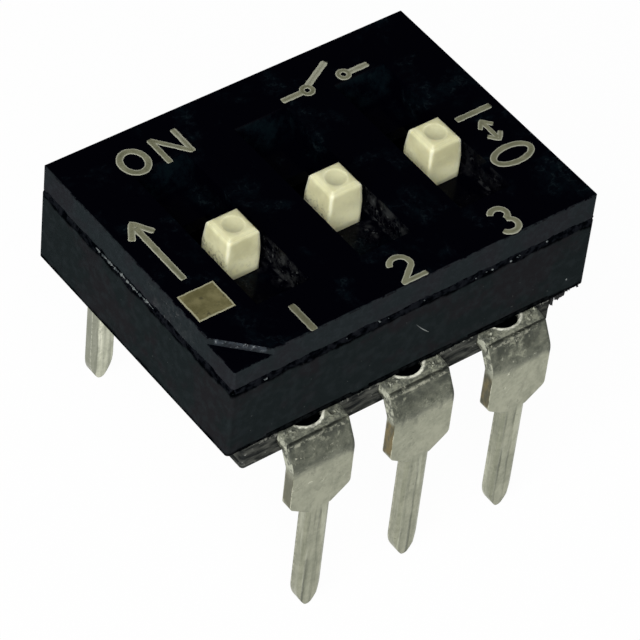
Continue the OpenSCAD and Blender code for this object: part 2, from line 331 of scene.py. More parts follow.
def pebble(centre: tuple[float, float, float], radii: tuple[float, float, float], seed: int,
           rough: float = 0.25, turns: int = 12, rises: int = 7) -> tuple[np.ndarray, list[list[int]]]:
    """A small lump: an ellipsoid whose radius wanders with both angles.

    Args:
        centre: Its middle.
        radii: Its three half sizes.
        seed: Picks its bumps.
        rough: How far the radius wanders, as a share.
        turns: Points round it.
        rises: Rings between its poles.

    Returns:
        The points, and the faces between them.
    """
    around = np.linspace(0, 2 * np.pi, turns, endpoint=False)
    rise = np.linspace(-np.pi / 2, np.pi / 2, rises + 2)[1:-1]
    swell = 1 + rough * (wander(np.cos(around), (1.3, 0.7), seed)[None] + wander(rise, (2.1, 0.9), seed + 1)[:, None])
    ball = np.stack([np.cos(rise)[:, None] * np.cos(around), np.cos(rise)[:, None] * np.sin(around),
                     np.repeat(np.sin(rise)[:, None], turns, 1)], -1) * swell[..., None]
    points = np.concatenate([ball.reshape(-1, 3), [[0, 0, -1], [0, 0, 1]]]) * np.array(radii) + np.array(centre)
    first = np.arange(rises - 1)[:, None] * turns
    step = np.arange(turns)[None]
    after = (step + 1) % turns
    quads = np.stack([first + step, first + after, first + turns + after, first + turns + step], -1)
    low, high, last = rises * turns, rises * turns + 1, (rises - 1) * turns
    caps = [[low, int(b), int(a)] for a, b in zip(step[0], after[0])]
    caps += [[high, last + int(a), last + int(b)] for a, b in zip(step[0], after[0])]
    return points, quads.reshape(-1, 4).tolist() + caps


# ------------------------------------------------------------------------------------------ nodes and finishes


def fill(tree: bpy.types.NodeTree, node: bpy.types.Node, inputs: dict[int | str, object]) -> bpy.types.Node:
    """Fills a node's sockets.

    Args:
        tree: The node's tree.
        node: The node.
        inputs: By the socket's name or number, an output to link it to, or its value.

    Returns:
        The same node.
    """
    for place, value in inputs.items():
        if isinstance(value, Socket):
            tree.links.new(value, node.inputs[place])
        else:
            node.inputs[place].default_value = value
    return node


def work_out(tree: bpy.types.NodeTree, kind: str, *values: object) -> Socket:
    """Does one step of arithmetic with nodes.

    Args:
        tree: The nodes to add to.
        kind: The Math node's operation.
        values: Sockets or numbers, in order.

    Returns:
        The result.
    """
    node = tree.nodes.new("ShaderNodeMath")
    node.operation = kind
    return fill(tree, node, dict(enumerate(values))).outputs["Value"]


class Sketch:
    """Lays out the nodes of one material. Patterns read the piece's own coordinates, in millimetres.

    The numbers at its head are the places of the Mix node's colour sockets, how many rays the rounding of an edge
    takes, and how softly an outline fades, in millimetres.
    """

    mix_share, mix_low, mix_high, mix_result = 0, 6, 7, 2
    edge_samples = 6
    outline_fade = 0.02

    def __init__(self, name: str) -> None:
        """Starts an empty material with a Principled shader.

        Args:
            name: The material's name.
        """
        self.material = bpy.data.materials.new(name)
        self.material.use_nodes = True
        self.tree = self.material.node_tree
        self.tree.nodes.clear()
        self.shader = self.add("ShaderNodeBsdfPrincipled")
        self.add("ShaderNodeOutputMaterial", {"Surface": self.shader.outputs["BSDF"]})
        coordinates = self.add("ShaderNodeTexCoord")
        self.facing = coordinates.outputs["Normal"]
        self.place = self.add("ShaderNodeMapping", {"Vector": coordinates.outputs["Object"],
                                                    "Scale": (1 / MM, 1 / MM, 1 / MM)}).outputs["Vector"]

    def add(self, kind: str, inputs: dict[int | str, object] | None = None) -> bpy.types.Node:
        """Adds a node of some kind, with its sockets filled."""
        return fill(self.tree, self.tree.nodes.new(kind), inputs or {})

    def sum(self, kind: str, *values: object) -> Socket:
        """One step of arithmetic on sockets or numbers, of the Math node's kind."""
        return work_out(self.tree, kind, *values)

    def part(self, vector: Socket, axis: Axis) -> Socket:
        """A vector's part along an axis."""
        return self.add("ShaderNodeSeparateXYZ", {"Vector": vector}).outputs[axis.value]

    def along(self, axis: Axis) -> Socket:
        """How far along an axis of the frame a point lies, in millimetres."""
        return self.part(self.place, axis)

    def faces(self, axis: Axis, sign: float) -> Socket:
        """Finds the faces that look along an axis.

        Args:
            axis: The axis.
            sign: 1 for its own direction, -1 for the opposite one and 0 for both.

        Returns:
            1 on those faces, 0 on the rest.
        """
        part = self.part(self.facing, axis)
        part = self.sum("ABSOLUTE", part) if sign == 0 else self.sum("MULTIPLY", part, sign)
        return self.ease(part, 0.55, 0.85)

    def ease(self, value: object, low: float, high: float) -> Socket:
        """A smooth step from 0 at low to 1 at high, or down where low is the larger.

        Args:
            value: What the step reads.
            low: Where it is 0.
            high: Where it is 1.

        Returns:
            The step, 0 to 1.
        """
        node = self.add("ShaderNodeMapRange", {
            "Value": value, "From Min": min(low, high), "From Max": max(low, high),
            "To Min": float(low > high), "To Max": float(low <= high)})
        node.interpolation_type = "SMOOTHSTEP"
        return node.outputs["Result"]

    def spread(self, value: object, low: float, high: float) -> Socket:
        """Turns 0 to 1 into low to high."""
        return self.sum("MULTIPLY_ADD", value, high - low, low)

    def window(self, axis: Axis, low: float, high: float, soft: float) -> Socket:
        """1 between two places on an axis, falling to 0 over a soft edge."""
        value = self.along(axis)
        return self.both(self.ease(value, low - soft, low + soft), self.ease(value, high + soft, high - soft))

    def within(self, half_length: float, half_width: float, margin: float) -> Socket:
        """1 inside a rectangle about the middle of the frame, drawn in on every side by a margin."""
        return self.both(self.window(Axis.X, margin - half_length, half_length - margin, self.outline_fade),
                         self.window(Axis.Y, margin - half_width, half_width - margin, self.outline_fade))

    def without(self, mask: Socket) -> Socket:
        """1 where a mask is 0, and 0 where it is 1."""
        return self.sum("SUBTRACT", 1.0, mask)

    def both(self, first: Socket, *others: object) -> Socket:
        """The product of masks, some of which may be plain numbers."""
        return reduce(lambda result, value: self.sum("MULTIPLY", result, value), others, first)

    def either(self, first: Socket, *others: object) -> Socket:
        """The largest of masks."""
        return reduce(lambda result, value: self.sum("MAXIMUM", result, value), others, first)

    def noise(self, scale: float, detail: float, stretch: tuple[float, float, float] = (1, 1, 1),
              shift: float = 0.0, rough: float = 0.55, twist: float = 0.0) -> Socket:
        """Soft noise, 0 to 1.

        Args:
            scale: Waves a millimetre.
            detail: How many finer layers it has.
            stretch: More waves along an axis, or fewer.
            shift: Moves the pattern, in millimetres, so that two pieces differ.
            rough: How strong the finer layers are.
            twist: How far the pattern is bent by itself.

        Returns:
            The noise.
        """
        moved = self.add("ShaderNodeMapping", {
            "Scale": stretch, "Location": (shift, shift * 0.7, -shift), "Vector": self.place}).outputs["Vector"]
        return self.add("ShaderNodeTexNoise", {"Vector": moved, "Scale": scale, "Detail": detail, "Roughness": rough,
                                               "Distortion": twist}).outputs["Fac"]

    def veins(self, scale: float, width: float, detail: float, shift: float, rough: float) -> Socket:
        """Thin wandering lines: where the noise passes through its middle value.

        Args:
            scale: Waves a millimetre.
            width: How far from the middle value a line reaches.
            detail: How many finer layers the noise has.
            shift: Moves the pattern, in millimetres.
            rough: How strong the finer layers are.

        Returns:
            1 on the lines, 0 off them.
        """
        level = self.sum("ABSOLUTE", self.sum("ADD", self.noise(scale, detail, shift=shift, rough=rough), -0.5))
        return self.ease(level, width, 0.2 * width)

    def mix(self, share: object, low: object, high: object) -> Socket:
        """A colour between two.

        Args:
            share: How much of the second one shows, 0 to 1.
            low: The first colour.
            high: The second colour.

        Returns:
            The colour.
        """
        node = self.add("ShaderNodeMix")
        node.data_type = "RGBA"
        fill(self.tree, node, {self.mix_share: share, self.mix_low: low, self.mix_high: high})
        return node.outputs[self.mix_result]

    def round_edges(self, radius: float) -> Socket:
        """Rounds the edges in the surface's direction.

        Args:
            radius: The rounding's radius in millimetres.

        Returns:
            The rounded direction.
        """
        node = self.add("ShaderNodeBevel", {"Radius": radius * MM})
        node.samples = self.edge_samples
        return node.outputs["Normal"]

    def worn_edges(self, radius: float) -> Socket:
        """Finds the sharp edges: how far a rounded direction leans from the true one.

        Args:
            radius: The rounding's radius in millimetres.

        Returns:
            1 on sharp edges, 0 on flat faces.
        """
        true = self.add("ShaderNodeNewGeometry").outputs["Normal"]
        node = self.add("ShaderNodeVectorMath")
        node.operation = "DOT_PRODUCT"
        fill(self.tree, node, {0: self.round_edges(radius), 1: true})
        return self.ease(node.outputs["Value"], 0.995, 0.90)

    def relief(self, height: object, depth: float, normal: Socket | None = None) -> Socket:
        """Turns a height of 0 to 1 into a bent surface direction.

        Args:
            height: The height.
            depth: What 1 stands for, in millimetres.
            normal: The direction to start from.

        Returns:
            The bent direction.
        """
        start = {} if normal is None else {"Normal": normal}
        return self.add("ShaderNodeBump", {"Strength": 1.0, "Distance": depth * MM, "Height": height,
                                           **start}).outputs["Normal"]

    def set(self, **values: object) -> bpy.types.Material:
        """Fills the shader's sockets, with underscores for spaces in their names, and gives the material."""
        fill(self.tree, self.shader, {name.replace("_", " "): value for name, value in values.items()})
        return self.material


@dataclass(frozen=True)
class CoverPlastic:
    """The cover's black plastic: glossy on top, with the top and the wells painted near-black as painted shade, finely
    matt on its edges, scuffed inside the finger wells.
    """

    # Painted shade: the top and the wells are painted near-black, darker than the walls, for the dark overhead that the
    # glossy top reflects and the shade inside the wells.
    painted_dark_top: Colour = linear(1, 1, 5)
    smeared: Colour = linear(6, 14, 18)
    wisp: Colour = linear(22, 29, 32)
    moulded: Colour = linear(30, 35, 37)
    rusty: Colour = linear(32, 33, 36)
    grainy: Colour = linear(39, 44, 47)
    stepped: Colour = linear(54, 60, 66)
    nicked: Colour = linear(116, 120, 122)
    scuffed: Colour = linear(88, 90, 90)
    edge_radius: float = 0.012
    pitch: float = 2.54
    half_length: float = 4.56
    half_width: float = 3.33
    top_height: float = 4.65
    well_depth: float = 0.62
    rim_width: float = 0.12
    mark_reach: float = 1.3

    def step(self, draw: Sketch, lookout: Socket, inside: Socket) -> Socket:
        """Finds the upright step of the mark sunk at way 1's corner.

        Args:
            draw: The material in the making.
            lookout: 1 on faces that look up.
            inside: 1 inside the cover's outline.

        Returns:
            1 on the step.
        """
        corner = draw.both(*(draw.ease(draw.along(axis), self.mark_reach - half, self.mark_reach - 0.1 - half)
                             for axis, half in ((Axis.X, self.half_length), (Axis.Y, self.half_width))))
        return draw.both(corner, inside, draw.without(lookout))

    def dark_part(self, draw: Sketch, lookout: Socket, inside: Socket, step: Socket) -> Socket:
        """Finds the top and wells that are painted dark as painted shade, whose border with the paler outer walls is
        rubbed and ragged.

        Args:
            draw: The material in the making.
            lookout: 1 on faces that look up.
            inside: 1 inside the cover's outline.
            step: 1 on the sunk mark's step.

        Returns:
            1 where the plastic is dark.
        """
        outline = draw.within(self.half_length, self.half_width, 0.03)
        rubbed = draw.both(draw.ease(draw.noise(4.0, 6, shift=9.1, rough=0.72), 0.47, 0.53), lookout,
                           draw.without(outline))
        over = draw.both(draw.ease(draw.noise(4.0, 6, stretch=(1, 1, 0.5), shift=9.9, rough=0.72), 0.50, 0.56),
                         draw.ease(draw.along(Axis.Z), self.top_height - 0.05, self.top_height - 0.03))
        return draw.sum("SUBTRACT", draw.either(lookout, inside, over), draw.either(step, rubbed))

    def top(self, draw: Sketch, below: Socket) -> Socket:
        """Colours the glossy top: painted black as painted shade, with blue-grey smears, fine wisps and haze on the
        wells' far slopes.

        Args:
            draw: The material in the making.
            below: 1 inside the wells.

        Returns:
            The colour.
        """
        cloud = draw.noise(1.15, 7, shift=3.1, rough=0.64, twist=0.25)
        smear = draw.ease(cloud, 0.50, 0.70)
        far_slope = draw.both(below, draw.ease(draw.along(Axis.Y), 1.72, 1.95),
                              draw.ease(draw.noise(2.4, 6, shift=5.5, rough=0.66), 0.40, 0.66))
        crisp = draw.ease(draw.noise(5.5, 6, shift=1.2, rough=0.7), 0.36, 0.62)
        hazy = draw.either(draw.both(smear, draw.spread(crisp, 0.15, 0.8)), far_slope)
        wisps = draw.both(draw.veins(1.5, 0.022, 7, shift=4.7, rough=0.62), smear, crisp)
        return draw.mix(draw.both(wisps, 0.8), draw.mix(hazy, self.painted_dark_top, self.smeared), self.wisp)

    def side(self, draw: Sketch, step: Socket) -> Socket:
        """Colours the outer walls, and the rubbed and nicked step of the sunk mark.

        Args:
            draw: The material in the making.
            step: 1 on the step.

        Returns:
            The colour.
        """
        mottle = draw.ease(draw.noise(0.9, 5, shift=8.0, rough=0.6), 0.45, 0.62)
        grains = draw.ease(draw.noise(9.0, 4, shift=2.6, rough=0.6), 0.42, 0.7)
        colour = draw.mix(draw.both(grains, 0.5), draw.mix(mottle, self.moulded, self.rusty), self.grainy)
        worn = draw.ease(draw.noise(9.0, 5, shift=6.2, rough=0.7), 0.36, 0.64)
        on_step = draw.ease(draw.along(Axis.Z), self.top_height - 0.22, self.top_height - 0.04)
        colour = draw.mix(draw.both(step, worn, on_step), colour, self.stepped)
        nicks = draw.ease(draw.noise(13.0, 4, shift=4.4, rough=0.7), 0.58, 0.64)
        return draw.mix(draw.both(step, nicks, on_step), colour, self.nicked)

    def scuffs(self, draw: Sketch, below: Socket, local: Socket) -> Socket:
        """Finds where fingers scuffed the wells: beside and ahead of each knob, and hardly in way 3.

        Args:
            draw: The material in the making.
            below: 1 inside the wells.
            local: How far along the row a point lies from its own way's middle.

        Returns:
            1 on the scuffs.
        """
        blots = draw.ease(draw.noise(2.8, 5, shift=1.7, rough=0.62), 0.46, 0.72)
        flecks = draw.ease(draw.noise(7.0, 5, shift=6.9, rough=0.7), 0.575, 0.64)
        veins = draw.veins(2.2, 0.03, 7, shift=2.2, rough=0.7)
        chips = draw.either(draw.both(veins, 0.15), draw.both(blots, 0.6), flecks)
        patch = draw.ease(draw.noise(1.7, 3, shift=3.9), 0.42, 0.58)
        beside = draw.both(draw.ease(local, 0.16, 0.56), draw.window(Axis.Y, -1.9, -0.45, 0.35),
                           draw.either(patch, draw.both(draw.ease(local, 0.60, 0.64), 0.7)))
        ahead = draw.both(draw.window(Axis.Y, -1.7, -1.0, 0.25), draw.ease(local, 0.60, 0.2),
                          draw.ease(local, -0.7, -0.1), patch, 0.35)
        often_used = draw.spread(draw.ease(draw.along(Axis.X), self.pitch / 2, self.pitch / 2 - 0.1), 0.35, 1.0)
        return draw.both(below, draw.either(beside, ahead), chips, often_used)

    def material(self) -> bpy.types.Material:
        """Lays out the finish.

        The sides of the wells are painted as dark as the top, as painted shade. The outer walls are the faces near the
        cover's outline.

        Returns:
            The material.
        """
        draw = Sketch("cover_plastic")
        lookout = draw.faces(Axis.Z, 1)
        inside = draw.within(self.half_length, self.half_width, self.rim_width)
        step = self.step(draw, lookout, inside)
        dark = self.dark_part(draw, lookout, inside, step)
        below = draw.ease(draw.along(Axis.Z), self.top_height - 0.006, self.top_height - 0.04)
        local = draw.sum("WRAP", draw.along(Axis.X), self.pitch / 2, -self.pitch / 2)
        scuff = self.scuffs(draw, below, local)
        floor_height = self.top_height - self.well_depth
        foot_shadow = draw.both(draw.ease(local, 0.57, 0.62), draw.window(Axis.Y, -1.9, -0.9, 0.1),
                         draw.ease(draw.along(Axis.Z), floor_height + 0.05, floor_height + 0.02),
                         draw.ease(draw.noise(3.0, 4, shift=7.7), 0.48, 0.58))
        # Painted shade: the top and the wells take the near-black colour, the outer walls the paler one.
        colour = draw.mix(dark, self.side(draw, step), self.top(draw, below))
        colour = draw.mix(draw.either(draw.both(scuff, 0.62), draw.both(foot_shadow, 0.2)), colour, self.scuffed)
        rough = draw.sum("MULTIPLY_ADD", scuff, 0.35, draw.spread(dark, 0.46, 0.18))
        grain, ripple = draw.noise(26.0, 2, shift=0.4), draw.noise(1.4, 2, shift=6.6)
        height = draw.sum("MULTIPLY_ADD", grain, draw.spread(dark, 0.5, 0.04), draw.sum("MULTIPLY", ripple, 0.4))
        height = draw.sum("MULTIPLY_ADD", scuff, 1.2, height)
        normal = draw.relief(height, 0.006, draw.round_edges(self.edge_radius))
        return draw.set(Base_Color=colour, Roughness=rough, Specular_IOR_Level=0.0, Coat_Weight=draw.both(dark, 0.12),
                        Coat_Roughness=0.12, Normal=normal)


@dataclass(frozen=True)
class HousingPlastic:
    """The housing's dark grey plastic, with a fine spark-eroded grain, and painted shade along its upper lip under the
    seam, along its foot and inside it.
    """

    name: str = "housing_plastic"
    dark: Colour = linear(24, 29, 30)
    rusty: Colour = linear(28, 28, 30)
    cloudy: Colour = linear(34, 39, 41)
    painted_shade: Colour = linear(1, 2, 3)
    speck: Colour = linear(95, 98, 96)
    top: float = 3.91
    bottom: float = 2.11
    half_length: float = 4.56
    half_width: float = 3.33
    rim_width: float = 0.12
    edge_radius: float = 0.015

    def material(self) -> bpy.types.Material:
        """Lays out the finish.

        Returns:
            The material.
        """
        draw = Sketch(self.name)
        patch = draw.ease(draw.noise(0.9, 4, shift=4.0, rough=0.6), 0.46, 0.6)
        colour = draw.mix(patch, self.dark, self.rusty)
        clouds = draw.ease(draw.noise(5.0, 4, shift=1.4, rough=0.6), 0.42, 0.68)
        colour = draw.mix(draw.both(clouds, 0.5), colour, self.cloudy)
        height = draw.along(Axis.Z)
        ragged = draw.noise(2.6, 5, stretch=(1, 1, 0.4), shift=7.3)
        lip = draw.both(draw.ease(draw.sum("MULTIPLY_ADD", ragged, 0.34, height), self.top + 0.02, self.top + 0.12),
                        draw.ease(height, self.top - 0.25, self.top - 0.1))
        foot_shadow = draw.both(draw.ease(draw.sum("MULTIPLY_ADD", ragged, -0.3, height), self.bottom, self.bottom - 0.14),
                         draw.ease(height, self.bottom + 0.2, self.bottom + 0.05))
        inside = draw.within(self.half_length, self.half_width, self.rim_width)
        # Painted shade: the lip under the seam, the foot over the base plate and the faces inside are painted
        # near-black.
        colour = draw.mix(draw.either(lip, foot_shadow, inside), colour, self.painted_shade)
        specks = draw.ease(draw.noise(12.0, 2, shift=2.9), 0.74, 0.78)
        colour = draw.mix(draw.both(specks, 0.4), colour, self.speck)
        rough = draw.spread(draw.noise(3.0, 3, shift=1.1), 0.40, 0.54)
        relief = draw.sum("MULTIPLY_ADD", draw.noise(24.0, 2), 0.6, draw.sum("MULTIPLY", draw.noise(1.2, 2), 0.5))
        normal = draw.relief(relief, 0.006, draw.round_edges(self.edge_radius))
        return draw.set(Base_Color=colour, Roughness=rough, Specular_IOR_Level=0.0, Normal=normal)


@dataclass(frozen=True)
class BasePlastic:
    """The base plate's plastic: paler, streaked along its length, with pale torn crumbs along its edge."""

    dark: Colour = linear(30, 32, 32)
    pale: Colour = linear(80, 81, 76)
    crumb: Colour = linear(150, 150, 146)
    shade_under_housing: Colour = linear(2, 3, 4)
    underside: tuple[Colour, Colour] = (linear(36, 38, 38), linear(44, 46, 45))
    edge_radius: float = 0.03

    def material(self) -> bpy.types.Material:
        """Lays out the finish.

        Returns:
            The material.
        """
        draw = Sketch("base_plastic")
        streak = draw.noise(3.0, 4, stretch=(0.8, 1, 3.0), shift=1.9, twist=0.5)
        colour = draw.mix(draw.ease(streak, 0.35, 0.7), self.dark, self.pale)
        crumbs = draw.ease(draw.noise(7.0, 4, shift=3.3, rough=0.65), 0.63, 0.70)
        colour = draw.mix(draw.both(crumbs, 0.6), colour, self.crumb)
        # Painted shade: the faces that look up, under the housing, are painted near-black.
        colour = draw.mix(draw.faces(Axis.Z, 1), colour, self.shade_under_housing)
        swirl = draw.mix(draw.ease(draw.noise(1.1, 4, shift=6.4, rough=0.5), 0.3, 0.7), *self.underside)
        colour = draw.mix(draw.faces(Axis.Z, -1), colour, swirl)
        relief = draw.sum("ADD", streak, draw.sum("MULTIPLY", draw.noise(16.0, 3), 0.6))
        normal = draw.relief(relief, 0.008, draw.round_edges(self.edge_radius))
        return draw.set(Base_Color=colour, Roughness=draw.spread(streak, 0.4, 0.6), Specular_IOR_Level=0.0,
                        Normal=normal)


@dataclass(frozen=True)
class IvoryPlastic:
    """The actuators' ivory acetal: creamy, a little translucent, softly rounded, with painted highlights on its edges,
    painted light low down, painted shade in its dish, and black dirt and painted shade at its foot.
    """

    cream: Colour = linear(209, 207, 168)
    shade: Colour = linear(193, 190, 150)
    rim: Colour = linear(246, 244, 212)
    bowl: Colour = linear(186, 184, 150)
    painted_light_low: Colour = linear(240, 238, 196)
    dust_and_shade: Colour = linear(52, 50, 38)
    edge_radius: float = 0.13
    cover_top: float = 4.65
    knob_top: float = 5.04

    def material(self) -> bpy.types.Material:
        """Lays out the finish.

        The bowl is the part of the top that lies lower than its rim, and is painted darker as painted shade. The edges
        carry a painted highlight, and the part under the cover's top is painted lighter as painted light. Dirt gathers
        low on the left faces, most on the knob of way 1, and painted shade with some dirt darkens the foot of the knob
        under the cover.

        Returns:
            The material.
        """
        draw = Sketch("ivory_plastic")
        height = draw.along(Axis.Z)
        cloud = draw.noise(2.2, 3, shift=0.8)
        colour = draw.mix(draw.ease(cloud, 0.35, 0.65), self.cream, self.shade)
        # Painted highlight: the edges near and above the cover's top are painted near white.
        rim = draw.both(draw.worn_edges(0.15), draw.ease(height, self.cover_top - 0.3, self.cover_top + 0.1), 0.85)
        colour = draw.mix(rim, colour, self.rim)
        # Painted light: the part of the knob below the cover's top is painted lighter, against the shade of the well's
        # walls.
        colour = draw.mix(draw.ease(height, self.cover_top - 0.02, self.cover_top - 0.42), colour, self.painted_light_low)
        # Painted shade: the dish in the top is painted darker.
        bowl = draw.both(draw.ease(height, self.knob_top - 0.004, self.knob_top - 0.03), draw.faces(Axis.Z, 1),
                         draw.ease(height, self.knob_top - 0.12, self.knob_top - 0.08))
        colour = draw.mix(draw.both(bowl, 0.6), colour, self.bowl)
        low = draw.ease(height, self.cover_top + 0.12, self.cover_top - 0.32)
        grime = draw.ease(draw.noise(11.0, 5, shift=4.4, rough=0.7), 0.51, 0.61)
        handled = draw.spread(draw.ease(draw.along(Axis.X), 3.0, -2.0), 0.25, 1.0)
        specks = draw.ease(draw.noise(17.0, 2, shift=6.1), 0.68, 0.74)
        # Painted shade, with some dirt: the foot of the knob deep under the cover is darkened.
        foot_shadow = draw.both(draw.ease(draw.sum("MULTIPLY_ADD", cloud, 0.16, height), self.cover_top - 0.42,
                                   self.cover_top - 0.54), 0.45)
        left = draw.spread(draw.faces(Axis.X, -1), 0.12, 1.0)
        dirt = draw.either(draw.both(low, grime, left, handled),
                           draw.both(specks, 0.2, draw.ease(height, 5.0, 4.3)), foot_shadow)
        colour = draw.mix(draw.both(dirt, 0.8), colour, self.dust_and_shade)
        relief = draw.sum("MULTIPLY_ADD", draw.noise(14.0, 3, shift=1.2), 0.5, draw.sum("MULTIPLY", cloud, 0.8))
        normal = draw.relief(relief, 0.010, draw.round_edges(self.edge_radius))
        return draw.set(Base_Color=colour, Roughness=draw.spread(cloud, 0.40, 0.55), Specular_IOR_Level=0.3,
                        Subsurface_Weight=0.35, Subsurface_Radius=(1.0, 0.9, 0.6), Subsurface_Scale=0.0003,
                        Normal=normal)


@dataclass(frozen=True)
class StripPlaces:
    """Where a point of a terminal lies, and the noises that several of its marks share."""

    height: Socket
    reach: Socket
    local: Socket
    cut_face: Socket
    mottle: Socket
    fine: Socket
    torn: Socket


@dataclass(frozen=True)
class TinPlate:
    """A terminal's tinned brass: torn at the crease, with painted glints round its hole and painted shade along the
    bend, smeared dark under it, dull and pale below.

    Each family of marks is a method that takes the colour so far and gives it back with its marks laid over it.
    """

    number: int
    bare: float
    brassy: float
    bright: Colour = linear(162, 163, 143)
    dull: Colour = linear(146, 148, 130)
    smear: Colour = linear(98, 101, 91)
    grime: Colour = linear(72, 75, 69)
    # The glint colours paint highlights, and the crease colour paints shade along the bend.
    glint: Colour = linear(222, 222, 200)
    brim_glint: Colour = linear(252, 252, 234)
    brass: Colour = linear(116, 102, 62)
    olive: Colour = linear(72, 71, 52)
    groove: Colour = linear(92, 95, 82)
    ridge_shade: Colour = linear(132, 134, 120)
    ridge_light: Colour = linear(236, 236, 216)
    pressed: Colour = linear(150, 152, 136)
    rolled_dark: Colour = linear(108, 112, 96)
    rolled_pale: Colour = linear(186, 188, 168)
    rubbed: tuple[Colour, Colour] = (linear(84, 87, 78), linear(136, 138, 122))
    hole_ring_glints: tuple[Colour, Colour] = (linear(120, 123, 108), linear(186, 188, 168))
    crease: Colour = linear(48, 50, 46)
    border: Colour = linear(70, 74, 68)
    dragged_pale: Colour = linear(168, 170, 150)
    dragged_dark: Colour = linear(72, 75, 68)
    pit: Colour = linear(88, 90, 78)
    scar: Colour = linear(172, 174, 154)
    cut_mark: Colour = linear(74, 77, 68)
    crumb: Colour = linear(204, 206, 186)
    pitch: float = 2.54
    crease_reach: float = 3.655
    crease_height: float = 1.97
    hole_reach: float = 3.035
    hole_radius: float = 0.44
    groove_places: tuple[float, ...] = (-0.15, 0.06)
    rolled: float = 0.3
    painted_ridge: bool = False
    edge_radius: float = 0.05

    @property
    def shift(self) -> float:
        """Moves the noises, so that no two terminals are alike."""
        return self.number * 3.7

    def places(self, draw: Sketch) -> StripPlaces:
        """Works out where a point lies on the strip, and the shared noises.

        Args:
            draw: The material in the making.

        Returns:
            The places and the noises.
        """
        return StripPlaces(height=draw.along(Axis.Z), reach=draw.sum("ABSOLUTE", draw.along(Axis.Y)),
                           local=draw.sum("WRAP", draw.along(Axis.X), self.pitch / 2, -self.pitch / 2),
                           cut_face=draw.faces(Axis.X, 0),
                           mottle=draw.noise(2.2, 6, shift=self.shift, rough=0.62),
                           fine=draw.noise(10.0, 4, shift=self.shift + 1, rough=0.65),
                           torn=draw.noise(6.0, 5, shift=self.shift + 6, rough=0.7))

    def paint_ridge_light(self, draw: Sketch, waver: Socket, on_pin: Socket, rolled: Socket, at: StripPlaces,
                    colour: Socket) -> Socket:
        """Paints a coined ridge along the pin: painted grey shade on one side of it, a painted highlight along its
        back.

        Args:
            draw: The material in the making.
            waver: How far a point lies from the ridge's line.
            on_pin: 1 on the pin.
            rolled: The noise of the rollers' lines.
            at: The places and noises.
            colour: The colour so far.

        Returns:
            The colour.
        """
        shaded = draw.both(on_pin, draw.ease(waver, -0.11, -0.15))
        colour = draw.mix(draw.both(shaded, 0.7), colour, self.ridge_shade)
        ridge = draw.both(on_pin, draw.ease(draw.sum("ABSOLUTE", draw.sum("ADD", waver, 0.08)), 0.075, 0.02),
                          draw.ease(at.height, -2.6, -2.2), draw.spread(draw.ease(at.fine, 0.4, 0.6), 0.4, 1.0))
        colour = draw.mix(draw.both(ridge, 0.75), colour, self.ridge_light)
        pressed = draw.both(on_pin, draw.ease(waver, -0.03, 0.05), draw.ease(rolled, 0.62, 0.44))
        return draw.mix(draw.both(pressed, 0.5), colour, self.pressed)

    def pin_marks(self, draw: Sketch, at: StripPlaces, colour: Socket) -> tuple[Socket, Socket]:
        """Draws the lines that the coining die and the rollers left along the pin.

        Args:
            draw: The material in the making.
            at: The places and noises.
            colour: The colour so far.

        Returns:
            The colour, and 1 in the grooves.
        """
        drag = draw.noise(2.0, 4, stretch=(1, 1, 0.12), shift=self.shift + 1, rough=0.6)
        waver = draw.sum("MULTIPLY_ADD", draw.noise(1.1, 3, shift=self.shift + 8), 0.16,
                         draw.sum("ADD", at.local, -0.08))
        grooves = draw.either(*(draw.ease(draw.sum("ABSOLUTE", draw.sum("ADD", waver, -place)), 0.042, 0.008)
                                for place in self.groove_places))
        lines = draw.both(grooves, draw.ease(at.height, 0.12, -0.3), draw.ease(drag, 0.40, 0.58))
        on_pin = draw.ease(at.height, 0.12, -0.2)
        rolled = draw.noise(6.0, 5, stretch=(1, 1, 0.07), shift=self.shift + 14, rough=0.62, twist=0.1)
        # Painted shade and highlight of a ridge along the pin.
        if self.painted_ridge:
            colour = self.paint_ridge_light(draw, waver, on_pin, rolled, at, colour)
            lines = draw.sum("MULTIPLY", lines, 0.25)
        colour = draw.mix(draw.both(lines, 0.75), colour, self.groove)
        colour = draw.mix(draw.both(on_pin, draw.ease(rolled, 0.49, 0.38), self.rolled), colour, self.rolled_dark)
        return draw.mix(draw.both(on_pin, draw.ease(rolled, 0.53, 0.62), 0.6), colour, self.rolled_pale), lines

    def smears(self, draw: Sketch, at: StripPlaces, colour: Socket) -> tuple[Socket, Socket]:
        """Smears the shank dark under the crease, down to a ragged border.

        Args:
            draw: The material in the making.
            at: The places and noises.
            colour: The colour so far.

        Returns:
            The colour, and 1 where it is smeared.
        """
        ragged = draw.sum("MULTIPLY_ADD", draw.noise(2.0, 5, shift=self.shift + 2, rough=0.6), 0.3, at.height)
        dark = draw.ease(ragged, 1.36, 1.62)
        colour = draw.mix(draw.both(dark, draw.spread(at.fine, 1.0, 0.6)), colour, self.smear)
        dirty = draw.both(draw.ease(ragged, 1.74, 2.10), draw.ease(at.mottle, 0.62, 0.44))
        return draw.mix(dirty, colour, self.grime), dark

